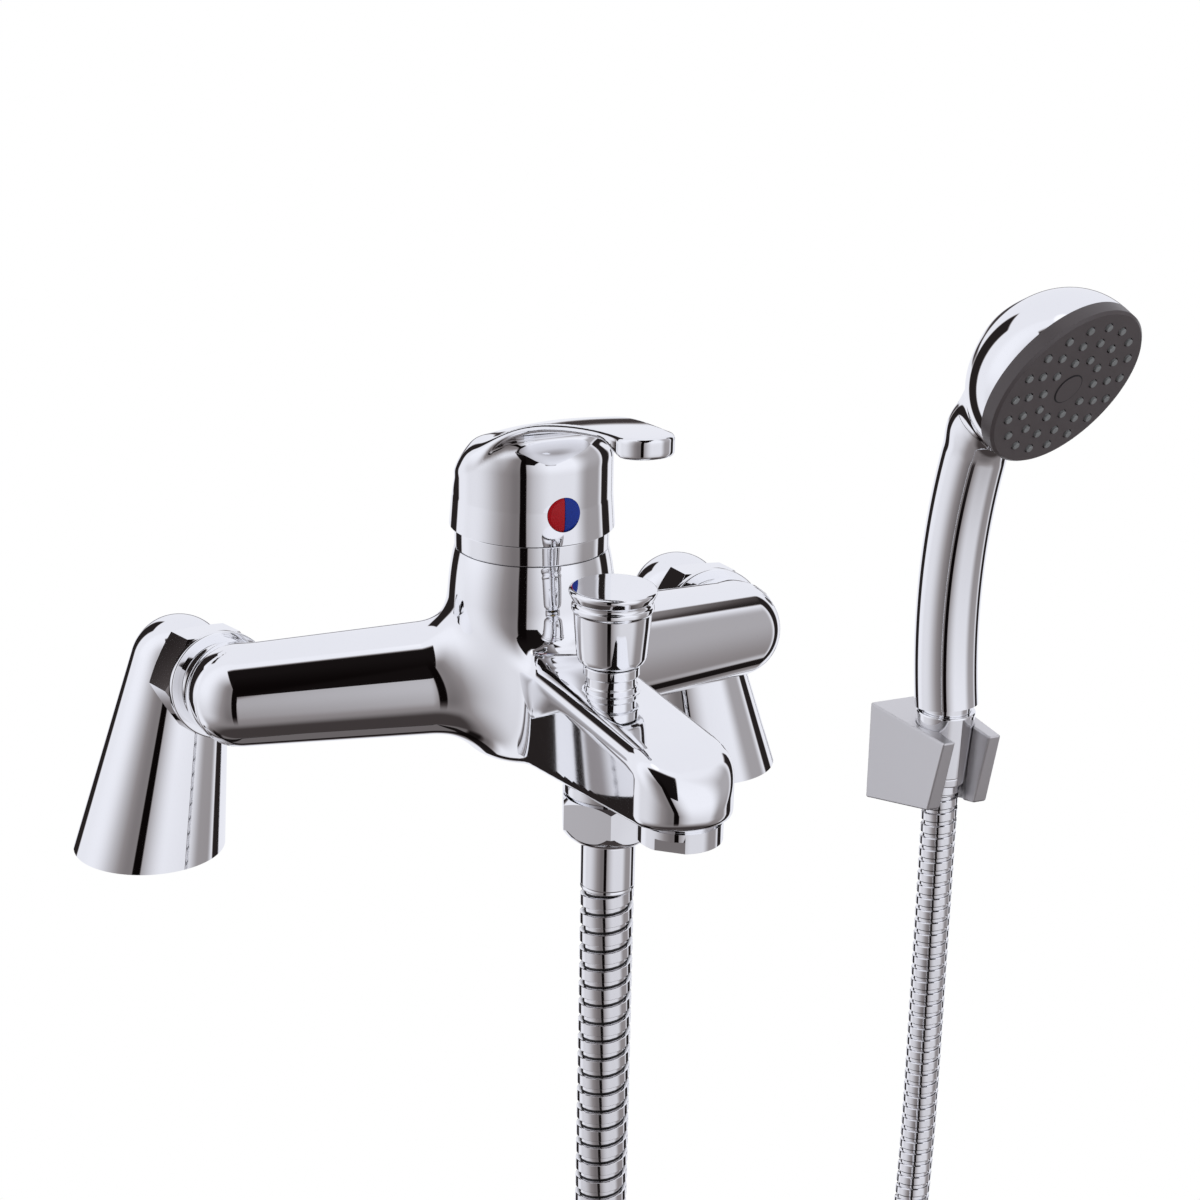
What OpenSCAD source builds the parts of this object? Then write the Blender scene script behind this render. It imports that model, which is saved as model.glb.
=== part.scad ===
// Bath shower mixer: single-lever mixer on two deck legs, pull-up diverter, ribbed hose,
// hand shower and wall bracket. Millimetres, +Z up, front is -Y.
// The origin is on the deck, midway between the two inlets.

/* [Deck and legs] */
// Distance between the two inlet centres
inlet_pitch = 180; // [170:1:190]
// Foot diameter on the deck
foot_dia = 43.6; // [41:0.2:50]
// Height of the elbow centre at the top of each leg
elbow_z = 55.5; // [52:0.5:60]
// How far each elbow stands inside its foot
leg_inset = 10.5; // [8:0.5:12]
// Elbow diameter
elbow_dia = 28.4; // [27:0.2:30]
// Inlet thread diameter
inlet_dia = 24.12; // [20:0.02:26]
// Inlet thread depth
inlet_depth = 16; // [12:0.5:20]
// Waterway diameter through legs and arms
waterway_dia = 14; // [10:0.5:15]
// Height of the rubber seal under each foot
foot_seal_t = 2; // [1.5:0.1:3]

/* [Unions] */
// Union nut width across flats
union_af = 27; // [26:0.5:30]
// Leg neck diameter inside the nut
union_neck_dia = 19.2; // [18:0.2:20]
// Leg collar diameter that the nut pulls on
union_collar_dia = 22.8; // [22:0.1:24]
// Leg collar thickness
union_collar_t = 3; // [2:0.1:4]
// Nut lip thickness
union_lip_t = 3; // [2:0.1:3.4]
// Length of the threaded nipple on the arm
union_nipple_len = 7.5; // [6:0.1:8]
// Flange diameter behind the nut
union_flange_dia = 30.4; // [28:0.2:32]
// Flange thickness
union_flange_t = 2.4; // [1.6:0.1:3]
// Union washer thickness
union_washer_t = 2; // [1:0.1:3]

/* [Body] */
// How far the tower stands in front of the inlets
tower_y = 72.4; // [68:0.2:76]
// Height of the tower's top rim
tower_top_z = 104; // [100:0.5:108]
// Tower diameter at the top rim
tower_dia = 41.6; // [41:0.2:44]
// Extra radius at the tower's waist
tower_swell = 2.2; // [1:0.1:3]
// Height of the body's underside
tower_floor_z = 47; // [45:0.5:50]
// Height of the arm axis at the tower
arm_z = 68.5; // [66:0.5:70]
// Arm diameter at the tower
arm_root_dia = 33; // [30:0.5:36]
// Arm diameter at the rounded end
arm_end_dia = 28; // [27:0.5:30]
// Sideways place of the arm end
arm_end_x = 74.6; // [72:0.2:77]
// How far the arm end is swept back
arm_back = 25.4; // [23:0.2:28]
// How far the arm end droops
arm_drop = 6.9; // [5:0.1:8]

/* [Spout] */
// How far the outlet stands in front of the inlets
outlet_y = 166.4; // [162:0.2:172]
// Nose diameter
nose_dia = 25.4; // [24.6:0.2:28]
// Height of the rim at the nose
nose_rim_z = 62.6; // [61:0.2:64]
// Height of the spout's flat top
spout_top_z = 81; // [80:0.2:83]
// Spout width where it leaves the tower
spout_root_w = 36; // [32:0.5:40]
// Slope of the spout's underside, rise per millimetre forward
spout_slope = 0.153; // [0.14:0.001:0.16]
// Rounding of the top edges
spout_round = 6; // [4:0.5:7]

/* [Cartridge and lever] */
// Cartridge diameter
cartridge_dia = 35; // [34:0.1:35.6]
// Height of the cartridge seat
cartridge_seat_z = 80; // [79:0.5:82]
// Cartridge barrel height
cartridge_h = 18; // [17:0.5:19]
// Ceramic disc thickness
disc_t = 3; // [2.6:0.1:3.4]
// Height of the lever pivot above the tower rim
pivot_rise = 3.1; // [2.5:0.1:3.4]
// Square stem width
stem_w = 7; // [6:0.1:7.4]
// Skirt diameter of the lever cap
cap_dia = 44.4; // [44:0.2:46]
// Height of the visible collar ring
collar_h = 5.6; // [5:0.1:6]
// Height of the lever cap above its skirt edge
cap_h = 27; // [25:0.5:29]
// Lever reach from the tower axis
lever_reach = 84; // [78:0.5:90]
// Lever blade width
lever_w = 19; // [16:0.5:21]
// Height of the lever tip above the skirt edge
lever_rise = 43.5; // [41:0.5:46]
// Hot and cold disc diameter
indicator_dia = 9.2; // [8:0.1:10]

/* [Diverter] */
// How far the diverter stands in front of the inlets
diverter_y = 125.1; // [123:0.2:128]
// Knob top diameter
knob_dia = 22.6; // [21:0.2:24]
// Knob height
knob_h = 20; // [18:0.5:22]
// Visible neck diameter under the knob
neck_dia = 14; // [13:0.2:15]
// Visible neck height
neck_h = 7; // [6:0.2:8]
// Valve travel
diverter_travel = 5; // [4:0.5:5]
// Spindle diameter
spindle_dia = 4.4; // [4:0.1:5]
// Valve chamber diameter
chamber_dia = 16; // [15:0.2:17]

/* [Outlets] */
// Aerator diameter
aerator_dia = 21; // [20:0.1:22]
// Visible aerator height
aerator_h = 5; // [4:0.2:6]
// Hose thread diameter at the mixer
hose_thread_dia = 20.8; // [20:0.1:21]
// Hose nut width across flats
hose_nut_af = 23.6; // [23.4:0.2:26]
// Hose nut height
hose_nut_h = 13; // [12:0.5:14]

/* [Hose] */
// Hose outer diameter
hose_dia = 14; // [13:0.5:15]
// Hose bore
hose_bore = 8; // [6:0.5:9]
// Hose ferrule diameter
ferrule_dia = 14.2; // [14:0.1:15]
// Hose ferrule length
ferrule_len = 14; // [12:0.5:16]
// Depth of the grooves between the ribs
rib_depth = 0.8; // [0.5:0.1:1]

/* [Hand shower] */
// Socket axis, sideways
socket_x = 258.5; // [250:0.5:270]
// Socket axis, behind the inlets
socket_y = 124; // [118:0.5:130]
// Height of the handle's lower end
handle_z = -50.4; // [-55:0.2:-45]
// How far the hand shower is turned in its socket
handset_turn = 14.6; // [-30:0.1:30]
// Handle diameter
handle_dia = 24.4; // [23:0.2:26]
// Radius of the handle's curve
handle_bend_r = 275; // [265:1:285]
// Backward lean where the handle starts
handle_lean = 7.5; // [6:0.1:9]
// Spray face diameter
face_dia = 68.2; // [66:0.2:72]
// Spray face thickness
face_t = 6; // [5:0.2:7]
// Downward tilt of the spray face
face_tilt = 26.8; // [25:0.2:28]
// Face centre in front of the handle's lower end
face_reach = 48.3; // [47:0.1:50]
// Face centre above the handle's lower end
face_rise = 136; // [135:0.2:138]
// Depth of the domed back
head_depth = 29.2; // [28:0.2:31]
// Nozzle diameter
nozzle_dia = 3; // [2.6:0.1:3.2]
// Cone diameter at the top of the hose's conical nut
cone_top_dia = 23; // [22.6:0.2:24]
// Cone diameter at its lower end
cone_low_dia = 17.6; // [17:0.2:18.4]
// Conical nut length
cone_len = 30; // [28:0.5:32]
// Thread diameter at the hand shower
handset_thread_dia = 19; // [18:0.1:19.2]

/* [Wall bracket] */
// Distance from the socket axis to the wall
wall_gap = 29; // [27:0.5:32]
// Distance from the socket axis to the cheeks' front edge
cheek_reach = 20; // [18:0.5:22]
// Bracket width at the wall
bracket_back_w = 33; // [31:0.5:36]
// Bracket width at the front
bracket_front_w = 25.4; // [25:0.2:28]
// Bracket height at the wall
bracket_h = 41; // [38:0.5:44]
// Width of the opening that lets the hose through
hose_slot_w = 14.8; // [14.6:0.1:16]
// Distance between the two wall screws
screw_pitch = 20; // [18:0.5:22]
// Wall screw hole diameter
screw_dia = 4.5; // [4:0.1:5]

/* [Hidden] */
$fn = 72;
chrome = [0.86, 0.87, 0.89];
brass = [0.78, 0.63, 0.33];
rubber = [0.12, 0.12, 0.13];
ceramic = [0.93, 0.93, 0.9];
dark = [0.27, 0.25, 0.25];
acetal = [0.9, 0.9, 0.86];
nozzle_grey = [0.52, 0.57, 0.56];
red = [0.78, 0.07, 0.12];
blue = [0.08, 0.2, 0.7];
steel = [0.55, 0.56, 0.58];

// Fits: running clearance on radius, and the gap left between pieces that only pass by.
run = 0.05;
pass = 0.4;
cut = 1;
// How far a ball joint of two pipes stands proud of them.
proud = 0.3;

elbow_r = elbow_dia / 2;
arm_r = arm_end_dia / 2;
way_r = waterway_dia / 2;
tower_r = tower_dia / 2;
skirt_z = tower_top_z + collar_h + 0.5;
pivot_z = tower_top_z + pivot_rise;
nose_r = nose_dia / 2;

function foot(side) = [side * inlet_pitch / 2, 0, 0];
function elbow(side) = [side * (inlet_pitch / 2 - leg_inset), 0, elbow_z];
function arm_end(side) = [side * arm_end_x, arm_back - tower_y, arm_z - arm_drop];
arm_root = [0, -tower_y, arm_z];
arm_in = 0.09;

// Groove for the foot seal, round the inlet thread.
seal_in_r = inlet_dia / 2 + 2;
seal_out_r = seal_in_r + 4.2;

// Places along each union, measured from the elbow towards the arm.
union_len = norm(arm_end(1) - elbow(1));
flange_t0 = union_len - arm_r - union_flange_t;
nipple_t0 = flange_t0 - union_nipple_len;
collar_t1 = nipple_t0 - union_washer_t;
collar_t0 = collar_t1 - union_collar_t;
nut_t0 = collar_t0 - union_lip_t;
union_thread_r = union_collar_dia / 2 + run;

// Cartridge places, upwards from its seat.
cart_r = cartridge_dia / 2;
cart_floor_t = 3;
disc_z = cartridge_seat_z + cart_floor_t;
slide_z = disc_z + disc_t;
barrel_z = cartridge_seat_z + cartridge_h;
carrier_r = 9.5;
carrier_flange_r = 12;
carrier_flange_t = 2.5;
carrier_flange_z = barrel_z - carrier_flange_t - 3;
carrier_top_z = pivot_z + 2.6;
chamber_r = cart_r - 2.9;
ball_r = 2.4;
ball_z = slide_z + disc_t;
port_r = 3;
port_x = 8.4;
pin_r = 1.5;
seat_wall = 3;

// Lever cap: hollow up to its ceiling, solid with a square socket above it.
cap_r = cap_dia / 2;
skirt_r = tower_r + 0.35;
ceiling_z = pivot_z + 8;
stem_top_z = skirt_z + cap_h - 8;
grub_r = 2;
grub_z = ceiling_z + 3.2;

// Underside of the spout, and the boss below it that carries the hose.
function spout_low(p) = tower_floor_z + 0.7 + spout_slope * (p - tower_y);
boss_z = spout_low(diverter_y) - 2.4;
nipple_top_z = boss_z + 4;
valve_seat_z = nipple_top_z + 2;

// Diverter places along its vertical axis.
chamber_r2 = chamber_dia / 2;
valve_t = 2;
valve_r = chamber_r2 - 1.4;
valve_lift = 0.2;
seat_ring_t = 2.5;
seat_ring_z = valve_seat_z + 2 * valve_t + diverter_travel + 2 * valve_lift;
passage_r = 2.4;
passage_z = seat_ring_z + seat_ring_t + passage_r + 0.3;
seat_hole_r = 4.8;
bonnet_z = spout_top_z - 4;
knob_z = spout_top_z + neck_h + pass;
spindle_r = spindle_dia / 2;

// Hose joint under the spout.
nut_z = boss_z - hose_nut_h;
hose_lip_t = 2;
hose_head_t = 1.4;
hose_washer_t = 1.8;
hose_neck_r = hose_bore / 2 + 1.2;
nipple_z = nut_z + hose_lip_t + hose_head_t + hose_washer_t;
hose_top_z = nut_z - ferrule_len;
hose_thread_r = hose_thread_dia / 2;

// Hand shower joint, downwards from the handle's lower end.
cone_top_z = handle_z - 0.6 - handle_dia / 2 * sin(handle_lean);
cone_z = cone_top_z - cone_len;
handset_thread_r = handset_thread_dia / 2;
inlet_end_z = cone_top_z - 9;
upper_washer_z = inlet_end_z - hose_washer_t;
upper_head_z = upper_washer_z - hose_head_t;
hose_end_z = cone_z - 4;
socket = [socket_x, socket_y, 0];
bracket_top_z = handle_z - 7.6;
wall_y = socket_y + wall_gap;

// Solid helper: puts the children's +Z axis on the line from p to q.
module aim(p, q) {
    d = q - p;
    translate(p)
        rotate([0, acos(d.z / norm(d)), atan2(d.y, d.x)])
            children();
}

module ring(r_out, r_in, h) {
    difference() {
        cylinder(r = r_out, h = h);
        translate([0, 0, -cut]) cylinder(r = r_in, h = h + 2 * cut);
    }
}

// Hexagon with the corners turned off at both ends.
module hexagon(af, h) {
    intersection() {
        rotate(30) cylinder(d = af / cos(30), h = h, $fn = 6);
        cylinder(d1 = af * 1.02, d2 = af * 1.02 + 3 * h, h = h);
        cylinder(d1 = af * 1.02 + 3 * h, d2 = af * 1.02, h = h);
    }
}

// Legs: a leaning cone from a round foot to a ball elbow, with the union neck and collar.
module leg(side) {
    under = foot(side) - (elbow(side) - foot(side)) * 10 / elbow_z;
    taper = (foot_dia / 2 - elbow_r + proud) / elbow_z;
    color(chrome) difference() {
        union() {
            difference() {
                aim(under, elbow(side))
                    cylinder(r1 = foot_dia / 2 + 10 * taper, r2 = elbow_r - proud, h = norm(elbow(side) - under));
                translate(foot(side) - [50, 50, 40]) cube([100, 100, 40]);
            }
            translate(elbow(side)) rotate([60, 0, 20]) sphere(r = elbow_r);
            aim(elbow(side), arm_end(side)) {
                cylinder(d = union_neck_dia, h = collar_t1);
                translate([0, 0, collar_t0]) cylinder(d = union_collar_dia, h = union_collar_t);
            }
        }
        translate(foot(side) - [0, 0, cut]) cylinder(d = inlet_dia, h = inlet_depth + cut);
        translate(foot(side) - [0, 0, cut]) ring(seal_out_r + pass, seal_in_r - pass, foot_seal_t + cut);
        aim(foot(side), elbow(side))
            translate([0, 0, inlet_depth / 2])
                cylinder(r = way_r, h = norm(elbow(side) - foot(side)) - inlet_depth / 2);
        translate(elbow(side)) rotate([60, 0, 20]) sphere(r = way_r + proud);
        aim(elbow(side), arm_end(side)) cylinder(r = way_r, h = collar_t1 + cut);
    }
}

module leg_left() leg(-1);
module leg_right() mirror([1, 0, 0]) leg(-1);

module foot_seal(side)
    color(rubber) translate(foot(side)) ring(seal_out_r, seal_in_r, foot_seal_t);

module foot_seal_left() foot_seal(-1);
module foot_seal_right() foot_seal(1);

module union_nut(side)
    color(chrome) aim(elbow(side), arm_end(side)) difference() {
        translate([0, 0, nut_t0]) hexagon(union_af, flange_t0 - pass - nut_t0);
        translate([0, 0, nut_t0 - cut]) cylinder(d = union_neck_dia + 2 * run, h = union_len);
        translate([0, 0, collar_t0]) cylinder(r = union_thread_r, h = union_len);
    }

module union_nut_left() union_nut(-1);
module union_nut_right() union_nut(1);

module union_washer(side)
    color(rubber) aim(elbow(side), arm_end(side)) translate([0, 0, collar_t1])
        ring(union_collar_dia / 2 - 0.4, way_r, union_washer_t);

module union_washer_left() union_washer(-1);
module union_washer_right() union_washer(1);

// Body casting: tower, two swept arms, spout, and every bore that its valves sit in.
module tower_shape() {
    waist_r = tower_r + tower_swell;
    bowl_r = 33;
    translate([0, -tower_y, 0]) rotate(90) {
        translate([0, 0, arm_z]) cylinder(r = waist_r, h = 12);
        translate([0, 0, arm_z + 12]) cylinder(r1 = waist_r, r2 = tower_r, h = tower_top_z - arm_z - 12);
        intersection() {
            translate([0, 0, tower_floor_z]) cylinder(r = waist_r, h = arm_z - tower_floor_z);
            translate([0, 0, tower_floor_z + bowl_r]) rotate([90, 0, 0]) sphere(r = bowl_r);
        }
    }
}

module arm_shape(side) {
    start = arm_root + (arm_end(side) - arm_root) * arm_in;
    start_r = arm_root_dia / 2 + (arm_r - arm_root_dia / 2) * arm_in;
    aim(start, arm_end(side)) cylinder(r1 = start_r, r2 = arm_r - proud, h = norm(arm_end(side) - start));
    aim(arm_end(side), elbow(side)) rotate(40) sphere(r = arm_r);
    aim(elbow(side), arm_end(side)) {
        translate([0, 0, nipple_t0]) cylinder(d = union_collar_dia, h = arm_r + union_nipple_len);
        translate([0, 0, flange_t0]) cylinder(d = union_flange_dia, h = union_flange_t);
        translate([0, 0, flange_t0]) cylinder(r = arm_r - 0.6, h = union_len - flange_t0);
    }
}

module spout_shape() {
    front = outlet_y + nose_r;
    nose_top = spout_top_z - 1.6;
    half = nose_r + 0.4;
    // Side view, plan and front view; the spout is what all three share.
    intersection() {
        rotate([90, 0, -90]) translate([0, 0, -50]) linear_extrude(100) union() {
            polygon([
                [tower_y, spout_top_z], [outlet_y - 6, spout_top_z], [front - spout_round, nose_top],
                [front - spout_round, nose_rim_z], [outlet_y, spout_low(outlet_y)], [tower_y, spout_low(tower_y)]
            ]);
            translate([front - spout_round, nose_rim_z])
                square([spout_round, nose_top - spout_round - nose_rim_z]);
            translate([front - spout_round, nose_top - spout_round]) circle(r = spout_round);
        }
        linear_extrude(200) union() {
            translate([0, -outlet_y]) circle(r = nose_r);
            polygon([[-nose_r, -outlet_y], [nose_r, -outlet_y], [half, -tower_y], [-half, -tower_y]]);
        }
        translate([0, -tower_y, 0]) rotate([90, 0, 0]) linear_extrude(200) union() {
            translate([-half, 0]) square([2 * half, spout_top_z - spout_round]);
            translate([-half + spout_round, 0]) square([2 * (half - spout_round), spout_top_z]);
            for (x = [-1, 1])
                translate([x * (half - spout_round), spout_top_z - spout_round]) circle(r = spout_round);
        }
    }
    // Wider root that runs into the tower.
    intersection() {
        rotate([90, 0, -90]) translate([0, 0, -50]) linear_extrude(100) polygon([
            [tower_y, spout_top_z - 3], [tower_y + 27, spout_top_z - 6], [tower_y + 36, spout_top_z - 10],
            [tower_y + 36, spout_low(tower_y + 36)], [tower_y, spout_low(tower_y)]
        ]);
        linear_extrude(200) polygon([
            [-spout_root_w / 2, -tower_y - 12], [-half, -tower_y - 36], [half, -tower_y - 36],
            [spout_root_w / 2, -tower_y - 12]
        ]);
    }
    translate([0, -diverter_y, boss_z]) cylinder(r = hose_thread_r + 1.3, h = spout_top_z - boss_z - 6);
}

module inlet_way() {
    near = arm_root + (arm_end(-1) - arm_root) * 0.17;
    aim(near, arm_end(-1)) cylinder(r = way_r - 1, h = norm(arm_end(-1) - near));
    aim(arm_end(-1), elbow(-1)) rotate(40) sphere(r = way_r - 1 + proud);
    aim(elbow(-1), arm_end(-1))
        translate([0, 0, nipple_t0 - cut]) cylinder(r = way_r - 1, h = union_len - nipple_t0 + cut);
    translate([-port_x, -tower_y, arm_z - 3]) cylinder(r = port_r, h = cartridge_seat_z - arm_z + 4);
}

module waterways() {
    inlet_way();
    mirror([1, 0, 0]) inlet_way();
    // Mixed water: down from the cartridge, forward to the diverter, and on to the nose.
    feed_r = 3.4;
    feed_z = valve_seat_z + feed_r + 2;
    translate([0, -tower_y - port_x, feed_z]) cylinder(r = port_r, h = cartridge_seat_z - feed_z + cut);
    translate([0, -tower_y - port_x + port_r + cut, feed_z]) rotate([90, 0, 0])
        cylinder(r = feed_r, h = diverter_y - tower_y - port_x + port_r + 2);
    translate([0, -diverter_y, passage_z]) rotate([90, 0, 0])
        cylinder(r = passage_r, h = outlet_y - diverter_y + 1.3);
    translate([0, -outlet_y, nose_rim_z + 6]) cylinder(r = passage_r + 0.6, h = passage_z - nose_rim_z - 6);
}

module body_bores() {
    translate([0, -tower_y, 0]) {
        translate([0, 0, cartridge_seat_z]) cylinder(r = cart_r + run, h = tower_top_z);
        translate([0, 0, barrel_z]) cylinder(r = cart_r + 1 + run, h = tower_top_z);
    }
    translate([0, -diverter_y, 0]) {
        translate([0, 0, valve_seat_z]) cylinder(r = chamber_r2, h = spout_top_z);
        translate([0, 0, boss_z]) cylinder(r = hose_bore / 2, h = valve_seat_z);
        translate([0, 0, boss_z - cut]) cylinder(r = hose_thread_r - 2.4 + run, h = nipple_top_z - boss_z + cut);
    }
    translate([0, -outlet_y, 0]) {
        cylinder(d = aerator_dia + 2 * pass, h = nose_rim_z);
        cylinder(r = aerator_dia / 2 - 1 + run, h = nose_rim_z + 8);
    }
}

module mixer_body()
    color(chrome) difference() {
        union() {
            tower_shape();
            arm_shape(-1);
            mirror([1, 0, 0]) arm_shape(-1);
            spout_shape();
        }
        waterways();
        body_bores();
    }

// Cartridge: a barrel with ceramic discs, a carrier that turns, and a stem that tips in it.
module cartridge_ports(h) {
    for (a = [0, 90, 180]) rotate(-a) translate([port_x, 0, -cut]) cylinder(r = port_r, h = h + 2 * cut);
}

module cartridge_barrel()
    color(acetal) translate([0, -tower_y, 0]) difference() {
        union() {
            translate([0, 0, cartridge_seat_z]) cylinder(r = cart_r, h = cartridge_h);
            translate([0, 0, barrel_z]) cylinder(r = carrier_r + 2.2, h = carrier_top_z - 3 - barrel_z);
        }
        translate([0, 0, cartridge_seat_z]) cartridge_ports(cart_floor_t);
        translate([0, 0, disc_z]) cylinder(r = chamber_r, h = carrier_flange_z + carrier_flange_t - disc_z);
        translate([0, 0, disc_z]) cylinder(r = carrier_r + run, h = tower_top_z);
    }

module fixed_disc()
    color(ceramic) translate([0, -tower_y, disc_z]) difference() {
        cylinder(r = chamber_r - run, h = disc_t);
        cartridge_ports(disc_t);
    }

module moving_disc()
    color(ceramic) translate([0, -tower_y, slide_z]) difference() {
        cylinder(r = chamber_r - 6, h = disc_t + 2);
        translate([0, 0, disc_t - ball_r]) cylinder(r = ball_r + 0.3, h = 10);
    }

module stem_slot(extra)
    translate([-stem_w / 2 - extra, -stem_w / 2 - 4.4, 0]) cube([stem_w + 2 * extra, stem_w + 8.8, 40]);

module cartridge_carrier()
    color(acetal) translate([0, -tower_y, 0]) difference() {
        union() {
            translate([0, 0, carrier_flange_z]) cylinder(r = carrier_flange_r, h = carrier_flange_t);
            translate([0, 0, carrier_flange_z]) cylinder(r = carrier_r, h = carrier_top_z - carrier_flange_z);
        }
        translate([0, 0, carrier_flange_z - cut]) stem_slot(run);
        translate([-20, 0, pivot_z]) rotate([0, 90, 0]) cylinder(r = pin_r + run, h = 40);
    }

module pivot_pin()
    color([0.6, 0.6, 0.62]) translate([-carrier_r + 0.6, -tower_y, pivot_z]) rotate([0, 90, 0])
        cylinder(r = pin_r + run, h = 2 * carrier_r - 1.2);

module lever_stem()
    color(brass) translate([0, -tower_y, 0]) difference() {
        union() {
            translate([-stem_w / 2, -stem_w / 2, ball_z + 4]) cube([stem_w, stem_w, stem_top_z - ball_z - 4]);
            translate([0, 0, ball_z]) cylinder(r = ball_r - 0.6, h = 6);
            translate([0, 0, ball_z]) sphere(r = ball_r);
        }
        translate([-5, -5, ball_z - 10 - ball_r * 0.9]) cube([10, 10, 10]);
        translate([-20, 0, pivot_z]) rotate([0, 90, 0]) cylinder(r = pin_r + 2 * run, h = 40);
    }

module cartridge_nut()
    color(brass) translate([0, -tower_y, 0]) difference() {
        union() {
            translate([0, 0, barrel_z]) cylinder(r = cart_r + 1, h = tower_top_z - barrel_z);
            translate([0, 0, tower_top_z]) cylinder(r = cart_r + 1, h = 2);
        }
        translate([0, 0, barrel_z - cut]) cylinder(r = carrier_r + 2.2 + run, h = 20);
        translate([0, 0, tower_top_z - 2]) rotate(30) cylinder(d = 30, h = 20, $fn = 6);
    }

module collar_ring()
    color(chrome) translate([0, -tower_y, tower_top_z]) difference() {
        cylinder(r = tower_r, h = collar_h);
        translate([0, 0, -cut]) cylinder(r = cart_r + 1 + run, h = collar_h + 2 * cut);
    }

// Lever: one casting of a domed cap and a blade that sweeps forward and up from its crown.
module cap_outline() {
    shoulder = skirt_z + 4.9;
    dome_r = cap_r - 0.3;
    polygon([[0, skirt_z], [cap_r, skirt_z], [dome_r, shoulder], [0, shoulder]]);
    intersection() {
        translate([0, shoulder]) circle(r = dome_r);
        translate([0, shoulder - cut]) square([cap_r, cap_h - 8]);
    }
}

module blade_side() {
    tip = [lever_reach - 2, skirt_z + lever_rise - 1.8];
    knee = [lever_reach * 0.56, skirt_z + lever_rise - 7.2];
    crown = [10, skirt_z + cap_h - 5.6];
    hull() {
        translate([-9, skirt_z + cap_h - 11.6]) circle(r = 8, $fn = 32);
        translate(crown) circle(r = 9, $fn = 32);
    }
    hull() {
        translate(crown) circle(r = 9, $fn = 32);
        translate(knee) circle(r = 3, $fn = 32);
    }
    hull() {
        translate(knee) circle(r = 3, $fn = 32);
        translate(tip) circle(r = 1.8, $fn = 32);
    }
}

module blade_plan() {
    tip_r = lever_w / 2 - 1;
    hull() {
        circle(r = lever_w / 2 + 6, $fn = 48);
        translate([lever_reach * 0.55, 0]) circle(r = lever_w / 2, $fn = 48);
    }
    hull() {
        translate([lever_reach * 0.55, 0]) circle(r = lever_w / 2, $fn = 48);
        translate([lever_reach - tip_r, 0]) circle(r = tip_r, $fn = 48);
    }
}

module lever_handle()
    color(chrome) translate([0, -tower_y, 0]) difference() {
        union() {
            rotate_extrude() cap_outline();
            intersection() {
                rotate([90, 0, -90]) translate([0, 0, -40]) linear_extrude(80) blade_side();
                rotate(-90) linear_extrude(300) blade_plan();
            }
        }
        translate([0, 0, skirt_z - cut]) cylinder(r = skirt_r, h = ceiling_z - skirt_z + cut);
        translate([-stem_w / 2, -stem_w / 2, skirt_z]) cube([stem_w, stem_w, stem_top_z - skirt_z]);
        translate([0, 0, grub_z]) rotate([90, 0, 0]) cylinder(r = grub_r + run, h = cap_dia);
        translate([0, -cap_r + 2.4, grub_z]) rotate([90, 0, 0]) cylinder(d = indicator_dia + 2 * run, h = cap_dia);
    }

module grub_screw()
    color([0.35, 0.35, 0.37]) translate([0, -tower_y - stem_w / 2, grub_z]) rotate([90, 0, 0]) difference() {
        cylinder(r = grub_r, h = 9);
        translate([0, 0, 6]) cylinder(d = 2, h = 9, $fn = 6);
    }

// Round plug in two halves that hides the grub screw: the left marks hot, the right cold.
module indicator_half(side)
    translate([0, -tower_y - cap_r + 2.4, grub_z]) rotate([90, 0, 0]) intersection() {
        cylinder(d = indicator_dia, h = 2.2);
        translate([side > 0 ? 0 : -indicator_dia, -indicator_dia, 0]) cube([indicator_dia, 2 * indicator_dia, 5]);
    }

module indicator_hot() color(red) indicator_half(-1);
module indicator_cold() color(blue) indicator_half(1);

// Diverter: pull-up knob and spindle with two valve washers, guided by a bonnet.
module diverter_bonnet()
    color(chrome) translate([0, -diverter_y, 0]) difference() {
        union() {
            translate([0, 0, bonnet_z]) cylinder(r = chamber_r2 - run, h = spout_top_z - bonnet_z);
            translate([0, 0, spout_top_z]) cylinder(d = neck_dia + 5, h = 0.8);
            translate([0, 0, spout_top_z]) cylinder(d = neck_dia, h = neck_h);
            for (z = [0.3, 0.62]) translate([0, 0, spout_top_z + z * neck_h]) cylinder(d = neck_dia + 0.8, h = 0.7);
        }
        translate([0, 0, bonnet_z - cut]) cylinder(r = spindle_r + run, h = 40);
        translate([0, 0, bonnet_z + 2]) cylinder(r = spindle_r + 1.9, h = 1.9);
    }

module diverter_o_ring()
    color(rubber) translate([0, -diverter_y, bonnet_z + 2]) ring(spindle_r + 1.85, spindle_r + 2 * run, 1.9);

module diverter_seat()
    color(brass) translate([0, -diverter_y, seat_ring_z]) ring(chamber_r2 - run, seat_hole_r, seat_ring_t);

module diverter_spindle()
    color(brass) translate([0, -diverter_y, valve_seat_z + valve_lift]) difference() {
        cylinder(r = spindle_r, h = knob_z + knob_h * 0.6 - valve_seat_z - valve_lift);
        translate([0, 0, -cut]) cylinder(r = 0.4, h = 3);
    }

module diverter_valve()
    color(rubber) translate([0, -diverter_y, valve_seat_z + valve_lift]) ring(valve_r, spindle_r, 2 * valve_t);

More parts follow.
